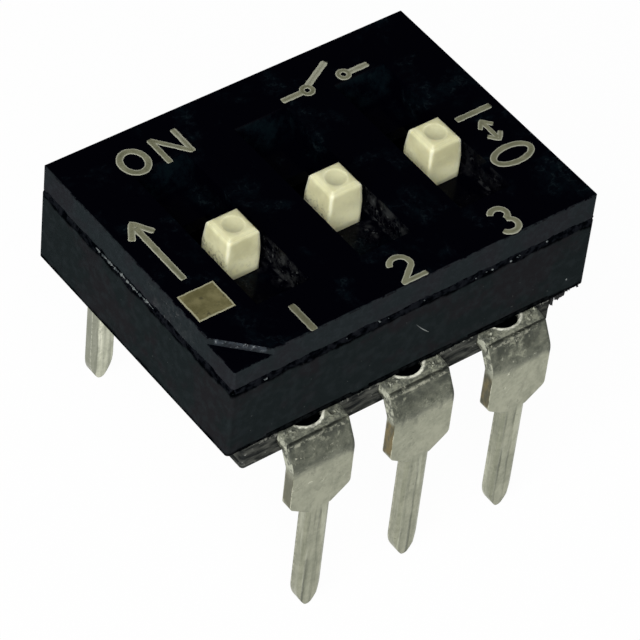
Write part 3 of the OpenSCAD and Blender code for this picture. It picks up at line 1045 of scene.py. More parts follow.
    def lip_marks(self, draw: Sketch, at: StripPlaces, colour: Socket) -> tuple[Socket, Socket]:
        """Tears the lip between the crease and the hole, with painted glints round the hole and along its edge, painted
        shade along the bend at the crease, the borders beside it and a painted highlight just past the crease.

        Args:
            draw: The material in the making.
            at: The places and noises.
            colour: The colour so far.

        Returns:
            The colour, and 1 on the lip.
        """
        edge_place = draw.sum("MULTIPLY_ADD", at.torn, 0.05, draw.sum("ADD", at.reach, -0.025))
        high_up = draw.ease(at.height, self.crease_height - 0.15, self.crease_height - 0.08)
        lip = draw.both(draw.ease(edge_place, self.crease_reach - 0.02, self.crease_reach - 0.05), high_up)
        from_hole = draw.sum("ADD", at.reach, -self.hole_reach)
        radius = draw.sum("SQRT", draw.sum("ADD", draw.sum("POWER", at.local, 2.0), draw.sum("POWER", from_hole, 2.0)))
        ring = draw.sum("ADD", radius, -self.hole_radius)
        # Painted glints: a torn ring of paler colours round the hole.
        torn_ring = draw.ease(draw.sum("MULTIPLY_ADD", at.torn, 0.10, ring), 0.125, 0.085)
        rubbed = draw.mix(draw.ease(at.fine, 0.40, 0.60), *self.rubbed)
        hole_ring_glints = draw.mix(draw.ease(at.torn, 0.42, 0.58), *self.hole_ring_glints)
        colour = draw.mix(lip, colour, draw.mix(torn_ring, rubbed, hole_ring_glints))
        # Painted highlight: a near-white glint along the hole's edge.
        brim_glint = draw.both(draw.ease(draw.sum("MULTIPLY_ADD", at.fine, 0.12, ring), 0.14, 0.09), lip,
                         draw.ease(at.mottle, 0.34, 0.46))
        colour = draw.mix(brim_glint, colour, self.brim_glint)
        # Painted shade: a broken dark line along the bend at the crease.
        line = draw.both(draw.ease(draw.sum("ABSOLUTE", draw.sum("ADD", edge_place, -self.crease_reach)), 0.026, 0.010),
                         high_up)
        broken = draw.ease(draw.noise(2.2, 4, shift=self.shift + 12, rough=0.6), 0.44, 0.56)
        colour = draw.mix(draw.both(line, draw.spread(broken, 0.15, 0.8)), colour, self.crease)
        border = draw.both(draw.ease(at.local, 0.69, 0.73), draw.ease(at.height, 1.15, 1.35),
                           draw.ease(at.fine, 0.35, 0.55))
        colour = draw.mix(draw.both(border, 0.75), colour, self.border)
        # Painted highlight: a broken pale line just past the crease.
        pale_line = draw.sum("ABSOLUTE", draw.sum("ADD", edge_place, -self.crease_reach - 0.045))
        pale = draw.both(draw.ease(pale_line, 0.022, 0.008), draw.ease(at.fine, 0.46, 0.56))
        return draw.mix(draw.both(pale, 0.4), colour, self.glint), lip

    def face_marks(self, draw: Sketch, at: StripPlaces, colour: Socket) -> tuple[Socket, Socket]:
        """Drags and pits the shank's broad faces, and paints small glints on them.

        Args:
            draw: The material in the making.
            at: The places and noises.
            colour: The colour so far.

        Returns:
            The colour, and 1 on the painted glints.
        """
        broad = draw.without(at.cut_face)
        dragged = draw.noise(6.0, 7, stretch=(0.45, 1, 1), shift=self.shift + 13, rough=0.74, twist=0.3)
        pale = draw.both(draw.ease(dragged, 0.54, 0.68), draw.ease(at.height, 0.3, 0.9), broad, 0.45)
        colour = draw.mix(pale, colour, self.dragged_pale)
        dark = draw.both(draw.ease(dragged, 0.52, 0.38), draw.ease(at.height, 1.1, 1.6), broad, 0.55)
        colour = draw.mix(dark, colour, self.dragged_dark)
        # Painted glints: small spots in the glint colour, also smoother and bumped.
        chips = draw.both(draw.ease(draw.noise(4.5, 6, shift=self.shift + 3, rough=0.74), 0.625, 0.66),
                          draw.ease(at.height, 0.4, 1.2))
        colour = draw.mix(draw.both(chips, 0.8), colour, self.glint)
        pits = draw.ease(draw.noise(9.0, 3, shift=self.shift + 4), 0.68, 0.74)
        return draw.mix(draw.both(pits, 0.45), colour, self.pit), chips

    def edge_marks(self, draw: Sketch, at: StripPlaces, colour: Socket) -> tuple[Socket, Socket]:
        """Bares the sheared edges, paints glints along the worn edges, scars the shank's corners and crumbles the
        plating above them.

        Args:
            draw: The material in the making.
            at: The places and noises.
            colour: The colour so far.

        Returns:
            The colour, and 1 on the bare edges.
        """
        sheared = draw.sum("MULTIPLY_ADD", draw.noise(4.0, 4, stretch=(1, 1, 0.5), shift=self.shift + 5), 0.5,
                           at.height)
        cut = draw.both(at.cut_face, draw.ease(sheared, 1.62, 1.46), draw.ease(sheared, 0.58, 0.68))
        patchy = draw.ease(draw.noise(4.2, 5, stretch=(1, 1, 0.35), shift=self.shift + 9, rough=0.66), 0.40, 0.6)
        metal = draw.mix(draw.both(patchy, self.brassy), self.olive, self.brass)
        colour = draw.mix(draw.both(cut, self.bare), colour, metal)
        # Painted highlight: glints along the worn edges, in the glint colour.
        rim = draw.both(draw.worn_edges(0.035), draw.ease(draw.noise(3.4, 4, shift=self.shift + 7), 0.36, 0.5),
                        draw.ease(at.height, 0.1, 0.4), draw.ease(at.height, 1.30, 1.05))
        colour = draw.mix(draw.both(rim, 0.75), colour, self.glint)
        scarred = draw.noise(3.6, 6, stretch=(1, 1, 0.6), shift=self.shift + 10, rough=0.74, twist=0.4)
        scars = draw.both(draw.ease(scarred, 0.55, 0.66), draw.ease(at.height, 1.0, 1.5), draw.without(at.cut_face))
        colour = draw.mix(draw.both(scars, 0.6), colour, self.scar)
        slashed = draw.noise(5.0, 6, stretch=(1, 1, 0.6), shift=self.shift + 11, rough=0.74)
        cuts = draw.both(draw.ease(slashed, 0.47, 0.36), draw.spread(draw.ease(at.height, 0.9, 1.6), 0.3, 1.0))
        colour = draw.mix(draw.both(cuts, 0.6), colour, self.cut_mark)
        crumbly = draw.both(at.cut_face, draw.ease(at.height, 1.25, 1.5),
                            draw.ease(draw.noise(5.5, 5, shift=self.shift + 15, rough=0.7), 0.44, 0.56))
        return draw.mix(draw.both(crumbly, 0.75), colour, self.crumb), cut

    def material(self) -> bpy.types.Material:
        """Lays out the finish, one family of marks over the other.

        Returns:
            The material.
        """
        draw = Sketch(f"tin_plate_{self.number}")
        at = self.places(draw)
        tone = draw.ease(draw.sum("MULTIPLY_ADD", at.fine, 0.4, draw.sum("MULTIPLY", at.mottle, 0.6)), 0.36, 0.62)
        colour, lines = self.pin_marks(draw, at, draw.mix(tone, self.dull, self.bright))
        colour, dark = self.smears(draw, at, colour)
        colour, lip = self.lip_marks(draw, at, colour)
        colour, chips = self.face_marks(draw, at, colour)
        colour, cut = self.edge_marks(draw, at, colour)
        rough = draw.sum("MULTIPLY_ADD", dark, 0.06, draw.spread(tone, 0.50, 0.38))
        rough = draw.sum("MULTIPLY_ADD", chips, -0.15, rough)
        relief = draw.sum("MULTIPLY_ADD", at.mottle, 0.6, draw.sum("MULTIPLY", at.fine, 0.5))
        relief = draw.sum("MULTIPLY_ADD", lines, -0.6, relief)
        relief = draw.sum("MULTIPLY_ADD", draw.both(lip, at.torn), 1.2, relief)
        relief = draw.sum("MULTIPLY_ADD", chips, 0.7, relief)
        normal = draw.relief(relief, 0.018, draw.round_edges(self.edge_radius))
        return draw.set(Base_Color=colour, Metallic=draw.both(draw.spread(lip, 1.0, 0.2), draw.spread(cut, 1.0, 0.7)),
                        Roughness=rough, Normal=normal)


@dataclass(frozen=True)
class SpringMetal:
    """The contact springs' gold-flashed phosphor bronze, rolled along its length."""

    gold: Colour = linear(214, 178, 104)
    worn: Colour = linear(176, 136, 84)

    def material(self) -> bpy.types.Material:
        """Lays out the finish.

        Returns:
            The material.
        """
        draw = Sketch("spring_metal")
        rolled = draw.noise(12.0, 3, stretch=(1, 0.08, 0.08), shift=2.0)
        colour = draw.mix(draw.ease(rolled, 0.35, 0.65), self.gold, self.worn)
        normal = draw.relief(rolled, 0.004, draw.round_edges(0.015))
        return draw.set(Base_Color=colour, Metallic=1.0, Roughness=draw.spread(rolled, 0.22, 0.36), Normal=normal)


@dataclass(frozen=True)
class PrintInk:
    """The markings' warm pale ink: dark and starved in the middle of a stroke, paler where it pooled at the edge."""

    name: str
    face_height: float
    thickness: float
    edge: Colour = linear(148, 149, 132)
    middle: Colour = linear(92, 93, 72)
    worn: Colour = linear(116, 116, 94)
    pinhole: Colour = linear(58, 56, 38)
    holes: float = 0.35
    core: tuple[float, float] = (0.965, 1.025)

    def material(self) -> bpy.types.Material:
        """Lays out the finish.

        The middle of a stroke is where the ink stands highest. The ink ran thin on the number beside way 1.

        Returns:
            The material.
        """
        draw = Sketch(self.name)
        cloud = draw.noise(2.6, 5, shift=5.0, rough=0.6)
        level = draw.sum("MULTIPLY_ADD", cloud, 0.08 * self.thickness, draw.along(Axis.Z))
        core = draw.ease(level, self.face_height + self.core[0] * self.thickness,
                         self.face_height + self.core[1] * self.thickness)
        warm = draw.mix(draw.ease(cloud, 0.36, 0.66), self.middle, self.worn)
        colour = draw.mix(core, self.edge, warm)
        starved = draw.both(draw.ease(draw.along(Axis.X), -2.3, -2.6), draw.ease(draw.along(Axis.Y), -2.2, -2.5))
        colour = draw.mix(draw.both(starved, 0.4), colour, self.pinhole)
        holes = draw.ease(draw.noise(7.0, 5, shift=2.0, rough=0.65), 0.56, 0.70)
        colour = draw.mix(draw.both(holes, core, self.holes), colour, self.pinhole)
        normal = draw.relief(draw.noise(18.0, 3), 0.004)
        return draw.set(Base_Color=colour, Roughness=0.62, Specular_IOR_Level=0.2, Normal=normal)


@dataclass(frozen=True)
class TornPlastic:
    """Plastic that was torn or rubbed as it left its mould: greyer and rougher than the walls round it. In black with
    no shine it also paints the shadow along the seam and the foot.
    """

    name: str
    dark: Colour
    pale: Colour
    shine: float = 0.2

    def material(self) -> bpy.types.Material:
        """Lays out the finish.

        Returns:
            The material.
        """
        draw = Sketch(self.name)
        cloud = draw.noise(6.0, 4, shift=1.0, rough=0.65)
        colour = draw.mix(draw.ease(cloud, 0.4, 0.62), self.dark, self.pale)
        normal = draw.relief(cloud, 0.02)
        return draw.set(Base_Color=colour, Roughness=draw.spread(cloud, 0.45, 0.7),
                        Specular_IOR_Level=self.shine, Normal=normal)


def dress(node: bpy.types.Object, finish: bpy.types.Material) -> None:
    """Gives a CAD node one finish all over.

    Args:
        node: The node's object.
        finish: The material.
    """
    node.data.materials.clear()
    node.data.materials.append(finish)
    LOG.info("%s: dressed in %s", node.name, finish.name)


# ---------------------------------------------------------------------------------------------- sub-assemblies


@dataclass
class Legend:
    """The ink on top of the cover: ON, the ways' numbers, a square at way 1 and plain switch symbols.

    Places are on the cover's top, in the frame's X and Y. The outlines wander to both sides by about the waver.
    """

    top: Face
    ink: bpy.types.Material
    square_ink: bpy.types.Material
    half_stroke: float = 0.086
    height: float = 0.010
    waver: float = 0.006

    def lay(self, name: str, *strokes: tuple[np.ndarray, float, bool]) -> bpy.types.Object:
        """Prints one mark from its strokes.

        Args:
            name: The mark's name.
            strokes: For each stroke its line, its half width and whether it is closed.

        Returns:
            The mark.
        """
        shell = Shell()
        for turn, (path, half, closed) in enumerate(strokes):
            run = np.r_[0, np.cumsum(np.linalg.norm(np.diff(path, axis=0), axis=1))]
            width = half + self.waver * wander(run, (0.31, 0.17, 0.09), seed=turn + len(name))
            if not closed:
                nearest = np.minimum(run, run[-1] - run)
                width = width * np.clip(0.62 + nearest / (half * 0.9), 0, 1) ** 0.6
            rise = np.full(len(path), self.height * (1 - 0.01 * turn))
            shell.add(*carry(path, width, rise, power=5.0, closed=closed))
        made = shell.piece(name, self.top, True, self.ink, Body.SWITCH)
        LOG.info("%s: %d strokes", name, len(strokes))
        return made

    def ring(self, centre: tuple[float, float], radii: tuple[float, float], points: int = 72) -> np.ndarray:
        """A closed oval line, its last point one step short of its first."""
        return bow(centre, radii, 90, 450, points + 1)[:-1]

    def word_on(self) -> None:
        """Prints ON beside the ON end of the wells."""
        half = self.half_stroke
        left, right, low, high = -2.32, -1.735, 2.02, 2.80
        self.lay("print_on_n",
                 (straight((left, low), (left, high), 24), half * 0.82, False),
                 (straight((left, high - 0.02), (right, low + 0.05), 24), half * 0.74, False),
                 (straight((right, low + 0.03), (right, high + 0.01), 24), half * 0.82, False))
        self.lay("print_on_o", (self.ring((-2.945, 2.42), (0.365 - half, 0.41 - half)), half * 0.92, True))

    def numbers(self) -> None:
        """Prints 1, 2 and 3 beside the OFF end of the wells."""
        half = self.half_stroke
        self.lay("print_way_1", (straight((-2.635, -3.31), (-2.635, -2.52), 24), half, False))
        bowl = bow((-0.13, -2.775), (0.225, 0.215), 168, -28, 34)
        slope = straight(tuple(bowl[-1]), (-0.37, -3.225), 16)[1:]
        self.lay("print_way_2", (np.concatenate([bowl, slope]), half * 0.8, False),
                 (straight((-0.41, -3.215), (0.21, -3.215), 20), half * 0.72, False))
        upper = bow((2.43, -2.70), (0.185, 0.165), 158, -72, 30)
        lower = bow((2.42, -3.045), (0.21, 0.185), 74, -158, 34)
        self.lay("print_way_3", (upper, half * 0.86, False), (lower, half * 0.86, False))

    def square(self) -> None:
        """Prints the filled square that marks way 1."""
        low, high = np.array([-4.415, -1.955]), np.array([-3.55, -1.17])
        corners = np.array([low, (high[0], low[1]), high, (low[0], high[1])])
        edge = np.concatenate([straight(tuple(a), tuple(b), 22)[:-1] for a, b in zip(corners, np.roll(corners, -1, 0))])
        edge = edge + self.waver * 1.2 * np.stack([wander(edge[:, 1], (0.5, 0.21, 0.1), 7),
                                                   wander(edge[:, 0], (0.45, 0.2, 0.11), 8)], 1)
        shell = Shell()
        shell.add(*slab(edge, self.height, 0.045))
        shell.piece("print_square", self.top, False, self.square_ink, Body.SWITCH)
        LOG.info("print_square: one outline of %d points", len(edge))

    def arrow(self) -> None:
        """Prints an arrow along the left edge that points to ON."""
        half = self.half_stroke
        tip = (-4.0, 0.98)
        head = np.concatenate([straight((-4.27, 0.57), tip, 14), straight(tip, (-3.73, 0.57), 14)[1:]])
        self.lay("print_arrow", (straight((-4.0, -0.84), (-4.0, 0.84), 40), half * 0.92, False),
                 (head, half * 0.92, False))

    def symbol(self) -> None:
        """Prints the drawing sign of a plain switch: two leads, two joints and a raised lever."""
        half = self.half_stroke * 0.9
        line = 2.31
        self.lay("print_switch_sign",
                 (self.ring((1.33, line), (0.115, 0.115), 40), half * 0.75, True),
                 (self.ring((2.27, line), (0.115, 0.115), 40), half * 0.75, True),
                 (straight((0.68, line), (1.20, line), 18), half, False),
                 (straight((2.40, line), (2.90, line), 18), half, False),
                 (straight((1.40, line + 0.10), (2.17, 2.83), 26), half, False))

    def off_and_on(self) -> None:
        """Prints a bar for on, a ring for off and the two-way arrow between them along the right edge."""
        half = self.half_stroke
        self.lay("print_bar", (straight((3.41, -0.05), (4.31, -0.05), 30), half * 0.88, False))
        self.lay("print_ring", (self.ring((3.79, -1.445), (0.545 - half, 0.32 - half)), half * 0.86, True))
        high, low = (3.84, -0.34), (3.84, -0.96)
        heads = [np.concatenate([straight((3.84 - 0.17, tip[1] - turn * 0.19), tip, 10),
                                 straight(tip, (3.84 + 0.17, tip[1] - turn * 0.19), 10)[1:]])
                 for tip, turn in ((high, 1), (low, -1))]
        self.lay("print_both_ways", (straight((3.84, -0.90), (3.84, -0.40), 20), half * 0.66, False),
                 *((head, half * 0.66, False) for head in heads))

    def build(self) -> None:
        """Prints every mark."""
        self.word_on()
        self.numbers()
        self.square()
        self.arrow()
        self.symbol()
        self.off_and_on()


@dataclass
class Cover:
    """The black cover with its print."""

    node: bpy.types.Object
    high: np.ndarray

    def dress(self) -> None:
        """Gives the moulding its finish."""
        finish = CoverPlastic(half_length=float(self.high[0]), half_width=float(self.high[1]),
                              top_height=float(self.high[2]))
        dress(self.node, finish.material())

    def print(self) -> None:
        """Prints the markings on the top."""
        level, thickness = float(self.high[2]), Legend.height
        top = Face((0, 0, level), (1, 0, 0), (0, 1, 0), (0, 0, 1))
        ink = PrintInk("print_ink", level, thickness).material()
        square = PrintInk("square_ink", level, thickness, edge=linear(146, 144, 118), middle=linear(84, 80, 50),
                          holes=0.85, core=(0.93, 1.02), worn=linear(110, 105, 72)).material()
        Legend(top, ink, square).build()


@dataclass
class Housing:
    """The housing, what its mould and its handling left on it, and the painted shadow along its seam and its foot.

    The painted shadow strips stop short of each corner by a margin, and crumbs lie outside the half width that a
    terminal takes up.
    """

    node: bpy.types.Object
    low: np.ndarray
    high: np.ndarray
    seam: float = 0.10
    corner_margin: float = 0.07
    pitch: float = 2.54
    lead_half: float = 0.78
    flash_half: float = 0.092
    foot_shadow_half: float = 0.05
    drip_count: int = 17

    def dress(self) -> None:
        """Gives the moulding its finish."""
        finish = HousingPlastic(top=float(self.high[2]), bottom=float(self.low[2]),
                                half_length=float(self.high[0]), half_width=float(self.high[1]))
        dress(self.node, finish.material())

    def side(self) -> Face:
        """The left wall, seen from outside: across runs towards the OFF side."""
        return Face((float(self.low[0]), 0, 0), (0, -1, 0), (0, 0, 1), (-1, 0, 0))

    def front(self) -> Face:
        """The wall on the OFF side, seen from outside."""
        return Face((0, float(self.low[1]), 0), (1, 0, 0), (0, 0, 1), (0, -1, 0))

    def walls(self) -> dict[str, tuple[Face, float, float]]:
        """Lays out the four walls as seen from outside.

        Returns:
            By name, each wall's face, and where the straight part of it starts and ends.
        """
        low, high = [float(c) for c in self.low], [float(c) for c in self.high]
        right = Face((high[0], 0, 0), (0, 1, 0), (0, 0, 1), (1, 0, 0))
        back = Face((0, high[1], 0), (-1, 0, 0), (0, 0, 1), (0, 1, 0))
        runs = {"front": (self.front(), low[0], high[0]), "left": (self.side(), -high[1], -low[1]),
                "right": (right, low[1], high[1]), "back": (back, -high[0], -low[0])}
        return {name: (face, start + self.corner_margin, end - self.corner_margin)
                for name, (face, start, end) in runs.items()}

    def torn_strip(self, along: np.ndarray, level: float, half: float, crown: float,
                   seed: int) -> tuple[np.ndarray, list[list[int]]]:
        """A flat strip of torn flash on a wall, whose edges and thickness wander.

        Args:
            along: Places along the wall.
            level: Its middle's height.
            half: Its usual half width.
            crown: How far it usually stands out of the wall.
            seed: Picks its bumps.

        Returns:
            The points, and the faces between them.
        """
        root = 0.06
        path = np.stack([along, level + 0.3 * half * wander(along, (1.7, 0.61, 0.27, 0.09), seed)], 1)
        width = half * np.clip(1 + 0.5 * wander(along, (1.3, 0.47, 0.19, 0.08, 0.05), seed + 1), 0.3, 1.7)
        height = root + crown + 0.8 * crown * wander(along, (1.1, 0.4, 0.15, 0.07), seed + 2)
        points, faces = carry(path, width, height, power=8.0)
        points[:, 2] -= root
        return points, faces

    def paint_seam_shadow(self) -> None:
        """Lays painted shadow over the seam and the housing's lip on all four walls: a thin ragged black strip with no
        shine.
        """
        level = float(self.high[2]) + 0.02
        # Painted shadow: the strip stands for the shade in the gap between the cover and the housing.
        dark = TornPlastic("seam_shadow_paint", linear(1, 2, 4), linear(18, 20, 24), shine=0.0).material()
        for turn, (name, (face, start, end)) in enumerate(self.walls().items()):
            along = np.linspace(start, end, 600)
            shell = Shell()
            shell.add(*self.torn_strip(along, level, self.flash_half, crown=0.008, seed=11 + 6 * turn))
            shell.piece(f"flash_{name}", face, True, dark, Body.SWITCH)
            LOG.info("flash_%s: %.1f mm of flash", name, end - start)

    def foot_shadow_and_crumbs(self) -> None:
        """Lays painted shadow along the long walls' feet, a thin ragged black strip with no shine where the housing
        meets the base plate, and pale crumbs between the terminals.
        """
        # Painted shadow: the black strip stands for the shade where the housing sits on the base plate.
        dark = TornPlastic("foot_shadow_paint", linear(1, 2, 3), linear(14, 16, 17), shine=0.0).material()
        pale = TornPlastic("crumb_plastic", linear(62, 64, 60), linear(112, 112, 105), shine=0.0).material()
        level = float(self.low[2])
        walls = self.walls()
        for turn, name in enumerate(("front", "back")):
            face, start, end = walls[name]
            shell = Shell()
            along = np.linspace(start + 0.25, end - 0.1, 420)
            shell.add(*self.torn_strip(along, level + 0.035, self.foot_shadow_half, crown=0.006, seed=61 + turn))
            shell.piece(f"foot_{name}", face, False, dark, Body.SWITCH)
            rng = np.random.default_rng(31 + turn)
            spots = Shell()
            for count, where in enumerate(rng.uniform(-4.0, 3.65, 120)):
                from_lead = abs((float(where) + self.pitch / 2) % self.pitch - self.pitch / 2)
                if from_lead < self.lead_half:
                    continue
                size = rng.uniform(0.02, 0.05, 2)
                spots.add(*pebble((float(where), level - float(rng.uniform(0.0, 0.06)), -0.035),
                                  (float(size[0]), float(size[1]), 0.04), count, rough=0.5, turns=8, rises=5))
            spots.piece(f"crumbs_{name}", face, False, pale, Body.SWITCH)
            LOG.info("foot_%s and crumbs_%s: laid along the foot", name, name)

    def seam_ridge(self) -> None:
        """Lays the rubbed ridge of flash that stands along the left seam, and the crumbs at the front one."""
        pale = TornPlastic("rubbed_plastic", linear(48, 54, 56), linear(104, 109, 108), shine=0.05).material()
        along = np.linspace(-1.45, 0.70, 150)
        height = float(self.high[2]) + self.seam * 0.62
        path = np.stack([along, height + 0.010 * wander(along, (0.8, 0.3, 0.12), 23)], 1)
        run = (along - along[0]) / (along[-1] - along[0])
        lumps = np.clip(0.5 + 0.7 * wander(along, (0.21, 0.11, 0.06), 24), 0.15, 1)
        ends = np.clip(np.minimum(run, 1 - run) * 9, 0.1, 1)
        shell = Shell()
        points, faces = carry(path, 0.034 * lumps * ends + 0.004, 0.036 * lumps * ends + 0.008, power=2.0)
        points[:, 2] -= 0.006
        shell.add(points, faces)
        shell.piece("flash_ridge", self.side(), True, pale, Body.SWITCH)
        spots = Shell()
        rng = np.random.default_rng(5)
        for turn, where in enumerate([*rng.uniform(-4.2, 4.2, 9), *rng.normal(2.4, 0.55, 8)]):
            size = float(rng.uniform(0.008, 0.024))
            level = float(self.high[2]) + self.seam * float(rng.uniform(-0.1, 0.9))
            spots.add(*pebble((float(where), level, -0.006), (size * 1.4, size, 0.03), turn))
        spots.piece("flash_crumbs", self.front(), True, pale, Body.SWITCH)
        LOG.info("flash_ridge and flash_crumbs: laid along the seam")

    def drips(self) -> None:
        """Hangs torn black flash under the front wall's right end, lower towards the base plate."""
        black = TornPlastic("torn_plastic", linear(4, 5, 6), linear(20, 22, 23)).material()
        shell = Shell()
        rng = np.random.default_rng(9)
        level, corner = float(self.low[2]), float(self.high[0])
        for turn, where in enumerate(np.linspace(corner - 0.86, corner - 0.03, self.drip_count)):
            hang = 0.30 * (corner - float(where)) + float(rng.uniform(-0.02, 0.045))
            wide = float(rng.uniform(0.035, 0.06))
            deep = float(rng.uniform(-0.16, -0.06))
            shell.add(*pebble((float(where), level - hang / 2 + 0.03, deep), (wide, hang / 2 + 0.05, 0.06), turn + 40,
                              rough=0.4))
        shell.piece("flash_drips", self.front(), True, black, Body.SWITCH)
        LOG.info("flash_drips: %d crumbs", self.drip_count)

    def scratch(self) -> None:
        """Draws the hairline scratch and the pale fleck on the front wall."""
        pale = TornPlastic("scratch_plastic", linear(86, 90, 90), linear(120, 124, 122)).material()
        share = np.linspace(0, 1, 40)
        path = np.stack([0.02 + 0.36 * share, 3.34 - 0.40 * share - 0.02 * np.sin(share * np.pi)], 1)
        half = 0.009 * np.sin(np.clip(share, 0.02, 0.98) * np.pi) ** 0.5 + 0.001
        shell = Shell()
        shell.add(*carry(path, half, np.full(len(share), 0.004), power=2.0))
        shell.add(*pebble((4.05, 2.47, 0.0), (0.022, 0.022, 0.010), 3))
        shell.piece("scratches", self.front(), True, pale, Body.SWITCH)
        LOG.info("scratches: one hairline and one fleck")

    def build(self) -> None:
        """Adds everything that the mould and handling left, and the painted shadow along the seam and the foot."""
        self.paint_seam_shadow()
        self.foot_shadow_and_crumbs()
        self.seam_ridge()
        self.drips()
        self.scratch()


@dataclass
class Terminal:
    """One tinned terminal, with the shards that its punch and its bending left.

    How bare its sheared edges are and how brassy they look go from 0 to 1.
    """

    node: bpy.types.Object
    number: int
    bare: float
    brassy: float
    shards: int = 17
    shard_reach: tuple[float, float] = (3.36, 3.54)
    shard_size: tuple[float, float] = (0.018, 0.058)

    def build(self) -> None:
        """Gives the stamping its finish and lays shards beside its hole, where the strip leaves the housing.

        The far row's tin is painted brighter, as painted light against the shade that the body casts on it. Terminals 1
        and 4 show more of the rollers' lines, and 6 has the painted shade and highlight of a ridge.
        """
        shades: dict[str, object] = {}
        # Painted light: the far row's tin is painted brighter, against the shade that the body casts on it.
        if self.number > len(Way):
            shades = {"bright": linear(204, 205, 185), "dull": linear(186, 188, 168)}
        if self.number in (1, 4):
            shades["rolled"] = 0.5
        tin = TinPlate(self.number, self.bare, self.brassy, painted_ridge=self.number == 6, **shades)
        finish = tin.material()
        dress(self.node, finish)
        low, high = box_mm(self.node.name)
        side = 1.0 if high[1] > 0 else -1.0
        middle, half = float(low[0] + high[0]) / 2, float(high[0] - low[0]) / 2
        rng = np.random.default_rng(70 + self.number)
        shell = Shell()
        for turn in range(self.shards):
            across = float(rng.uniform(tin.hole_radius * 0.9, half - 0.06)) * (1.0 if turn % 2 else -1.0)
            out = float(rng.uniform(*self.shard_reach))
            size = rng.uniform(*self.shard_size, 3)
            shell.add(*pebble((middle + across, side * out, float(high[2]) - 0.012), tuple(size), turn + 7, rough=0.55,
                              turns=8, rises=5))
        shell.piece(f"shards_{self.number}", Face((0, 0, 0), (1, 0, 0), (0, 1, 0), (0, 0, 1)), False, finish,
                    Body.SWITCH)
        LOG.info("shards_%d: %d beside the hole", self.number, self.shards)


@dataclass
class Actuator:
    """One sliding actuator with the contact spring inside it."""

    slider: bpy.types.Object
    spring: bpy.types.Object

    def dress(self, ivory: bpy.types.Material, metal: bpy.types.Material) -> None:
        """Gives the moulding and the spring their finishes."""
        dress(self.slider, ivory)
        dress(self.spring, metal)


# ------------------------------------------------------------------------------------------------------ studio


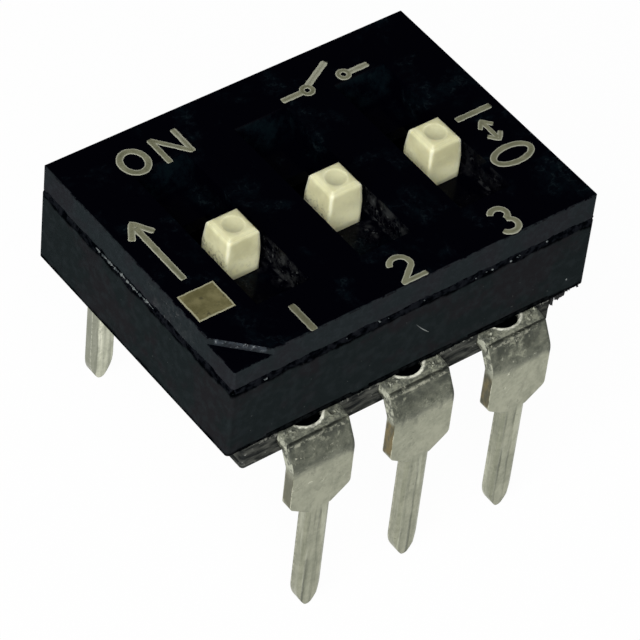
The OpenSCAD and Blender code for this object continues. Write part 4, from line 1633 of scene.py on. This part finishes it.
@dataclass
class Studio:
    """A plain pale floor, a soft pale surround that darkens overhead, one large soft lamp and the camera.

    The surround goes from its horizon's strength to its zenith's over the fade, in sines of the height angle. The
    floor lights the object as paper does, and shows nearly white.
    """

    floor_height: float
    floor_half: float = 900.0
    lens: float = 209.963
    sensor: float = 36.0
    eye: tuple[float, float, float] = (-35.916, -41.293, 56.555)
    turn: tuple[float, float, float] = (44.1811, -4.6305, -36.5637)
    horizon: float = 1.0
    zenith: float = 0.05
    fade: tuple[float, float] = (0.06, 0.52)
    air: Colour = (1.0, 0.995, 0.98, 1)
    paper: Colour = (0.8, 0.8, 0.8, 1)
    white_share: float = 0.97

    def camera(self) -> None:
        """Makes the camera."""
        data = bpy.data.cameras.new("camera")
        data.lens, data.sensor_width = self.lens, self.sensor
        data.clip_start, data.clip_end = 1 * MM, 4000 * MM
        made = bpy.data.objects.new("camera", data)
        made.location = [c * MM for c in self.eye]
        made.rotation_euler = [math.radians(a) for a in self.turn]
        bpy.context.scene.collection.objects.link(made)
        bpy.context.scene.camera = made

    def seen(self, tree: bpy.types.NodeTree) -> Socket:
        """Finds the rays that show the stage: from the camera, in gloss and through glass.

        Args:
            tree: The nodes to add to.

        Returns:
            1 for those rays, 0 for the ones that only light the object.
        """
        path = tree.nodes.new("ShaderNodeLightPath").outputs
        shown = work_out(tree, "MAXIMUM", path["Is Camera Ray"], path["Is Glossy Ray"])
        return work_out(tree, "MAXIMUM", shown, path["Is Transmission Ray"])

    def floor(self) -> None:
        """Makes the floor, which shows white, keeps the object's shadow and is clear from below."""
        half, level = self.floor_half * MM, self.floor_height * MM
        mesh = bpy.data.meshes.new("floor")
        mesh.from_pydata([(-half, -half, level), (half, -half, level), (half, half, level), (-half, half, level)],
                         [], [(0, 1, 2, 3)])
        finish = bpy.data.materials.new("floor_paper")
        finish.use_nodes = True
        tree = finish.node_tree
        tree.nodes.clear()
        matt = fill(tree, tree.nodes.new("ShaderNodeBsdfDiffuse"), {"Color": self.paper})
        glow = fill(tree, tree.nodes.new("ShaderNodeEmission"), {"Color": (1, 1, 1, 1)})
        share = work_out(tree, "MULTIPLY", self.seen(tree), self.white_share)
        white = fill(tree, tree.nodes.new("ShaderNodeMixShader"),
                     {"Fac": share, 1: matt.outputs["BSDF"], 2: glow.outputs["Emission"]})
        below = tree.nodes.new("ShaderNodeNewGeometry").outputs["Backfacing"]
        clear = tree.nodes.new("ShaderNodeBsdfTransparent")
        sides = fill(tree, tree.nodes.new("ShaderNodeMixShader"),
                     {"Fac": below, 1: white.outputs["Shader"], 2: clear.outputs["BSDF"]})
        fill(tree, tree.nodes.new("ShaderNodeOutputMaterial"), {"Surface": sides.outputs["Shader"]})
        mesh.materials.append(finish)
        made = bpy.data.objects.new("floor", mesh)
        bpy.context.scene.collection.objects.link(made)
        made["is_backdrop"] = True

    def surround(self) -> None:
        """Makes the world: pale at the horizon and below it, dark overhead."""
        world = bpy.data.worlds.new("surround")
        world.use_nodes = True
        tree = world.node_tree
        tree.nodes.clear()
        place = tree.nodes.new("ShaderNodeTexCoord")
        split = fill(tree, tree.nodes.new("ShaderNodeSeparateXYZ"), {"Vector": place.outputs["Generated"]})
        fade = fill(tree, tree.nodes.new("ShaderNodeMapRange"), {
            "Value": split.outputs["Z"], "From Min": self.fade[0], "From Max": self.fade[1],
            "To Min": self.horizon, "To Max": self.zenith})
        fade.interpolation_type = "SMOOTHSTEP"
        light = fill(tree, tree.nodes.new("ShaderNodeBackground"),
                     {"Color": self.air, "Strength": fade.outputs["Result"]})
        fill(tree, tree.nodes.new("ShaderNodeOutputWorld"), {"Surface": light.outputs["Background"]})
        bpy.context.scene.world = world

    def lamp(self, name: str, azimuth: float, elevation: float, distance: float, size: float, power: float) -> None:
        """Hangs a square soft lamp that looks at the object.

        Args:
            name: The lamp's name.
            azimuth: Degrees from -Y towards -X.
            elevation: Degrees above the floor.
            distance: How far away, in millimetres.
            size: Its side, in millimetres.
            power: Watts for each square metre of its face.
        """
        data = bpy.data.lights.new(name, "AREA")
        data.shape, data.size = "SQUARE", size * MM
        data.energy = power * (size * MM) ** 2
        made = bpy.data.objects.new(name, data)
        a, e = math.radians(azimuth), math.radians(elevation)
        toward = np.array([-math.sin(a) * math.cos(e), -math.cos(a) * math.cos(e), math.sin(e)])
        made.location = (toward * distance * MM).tolist()
        made.rotation_euler = (math.pi / 2 - e, 0, -a)
        bpy.context.scene.collection.objects.link(made)

    def build(self) -> None:
        """Sets up everything that isn't the object."""
        self.camera()
        self.floor()
        self.surround()
        self.lamp("key", azimuth=54, elevation=44, distance=160, size=140, power=19.0)
        bpy.context.scene.view_settings.view_transform = "Standard"


@dataclass
class SlideSwitch:
    """The whole switch. Each terminal has its pair of how bare and how brassy its sheared edges are."""

    nodes: dict[str, bpy.types.Object]
    sheared_edges: dict[int, tuple[float, float]] = field(default_factory=lambda: {
        1: (0.75, 0.1), 2: (1.0, 1.0), 3: (1.0, 0.75), 4: (0.8, 0.6), 5: (0.9, 0.9), 6: (0.7, 0.4)})

    def build(self) -> None:
        """Dresses every CAD node and adds the print, the flash, the painted shadow along the seam and the foot, and the
        marks.
        """
        cover = Cover(self.nodes["cover"], high=box_mm("cover")[1])
        cover.dress()
        cover.print()
        housing = Housing(self.nodes["housing"], *box_mm("housing"))
        housing.dress()
        housing.build()
        dress(self.nodes["base_plate"], BasePlastic().material())
        ivory, metal = IvoryPlastic().material(), SpringMetal().material()
        for way in Way:
            Actuator(self.nodes[f"slider_{way.value}"], self.nodes[f"contact_spring_{way.value}"]).dress(ivory, metal)
        for number, (bare, brassy) in self.sheared_edges.items():
            Terminal(self.nodes[f"terminal_{number}"], number, bare, brassy).build()


def main() -> None:
    """Loads the frame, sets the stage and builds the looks."""
    logging.basicConfig(level=logging.INFO, format="%(message)s")
    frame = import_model()
    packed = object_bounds()
    Studio(floor_height=float(packed[0].z) / MM).build()
    SlideSwitch(frame["nodes"]).build()


if __name__ == "__main__":
    main()
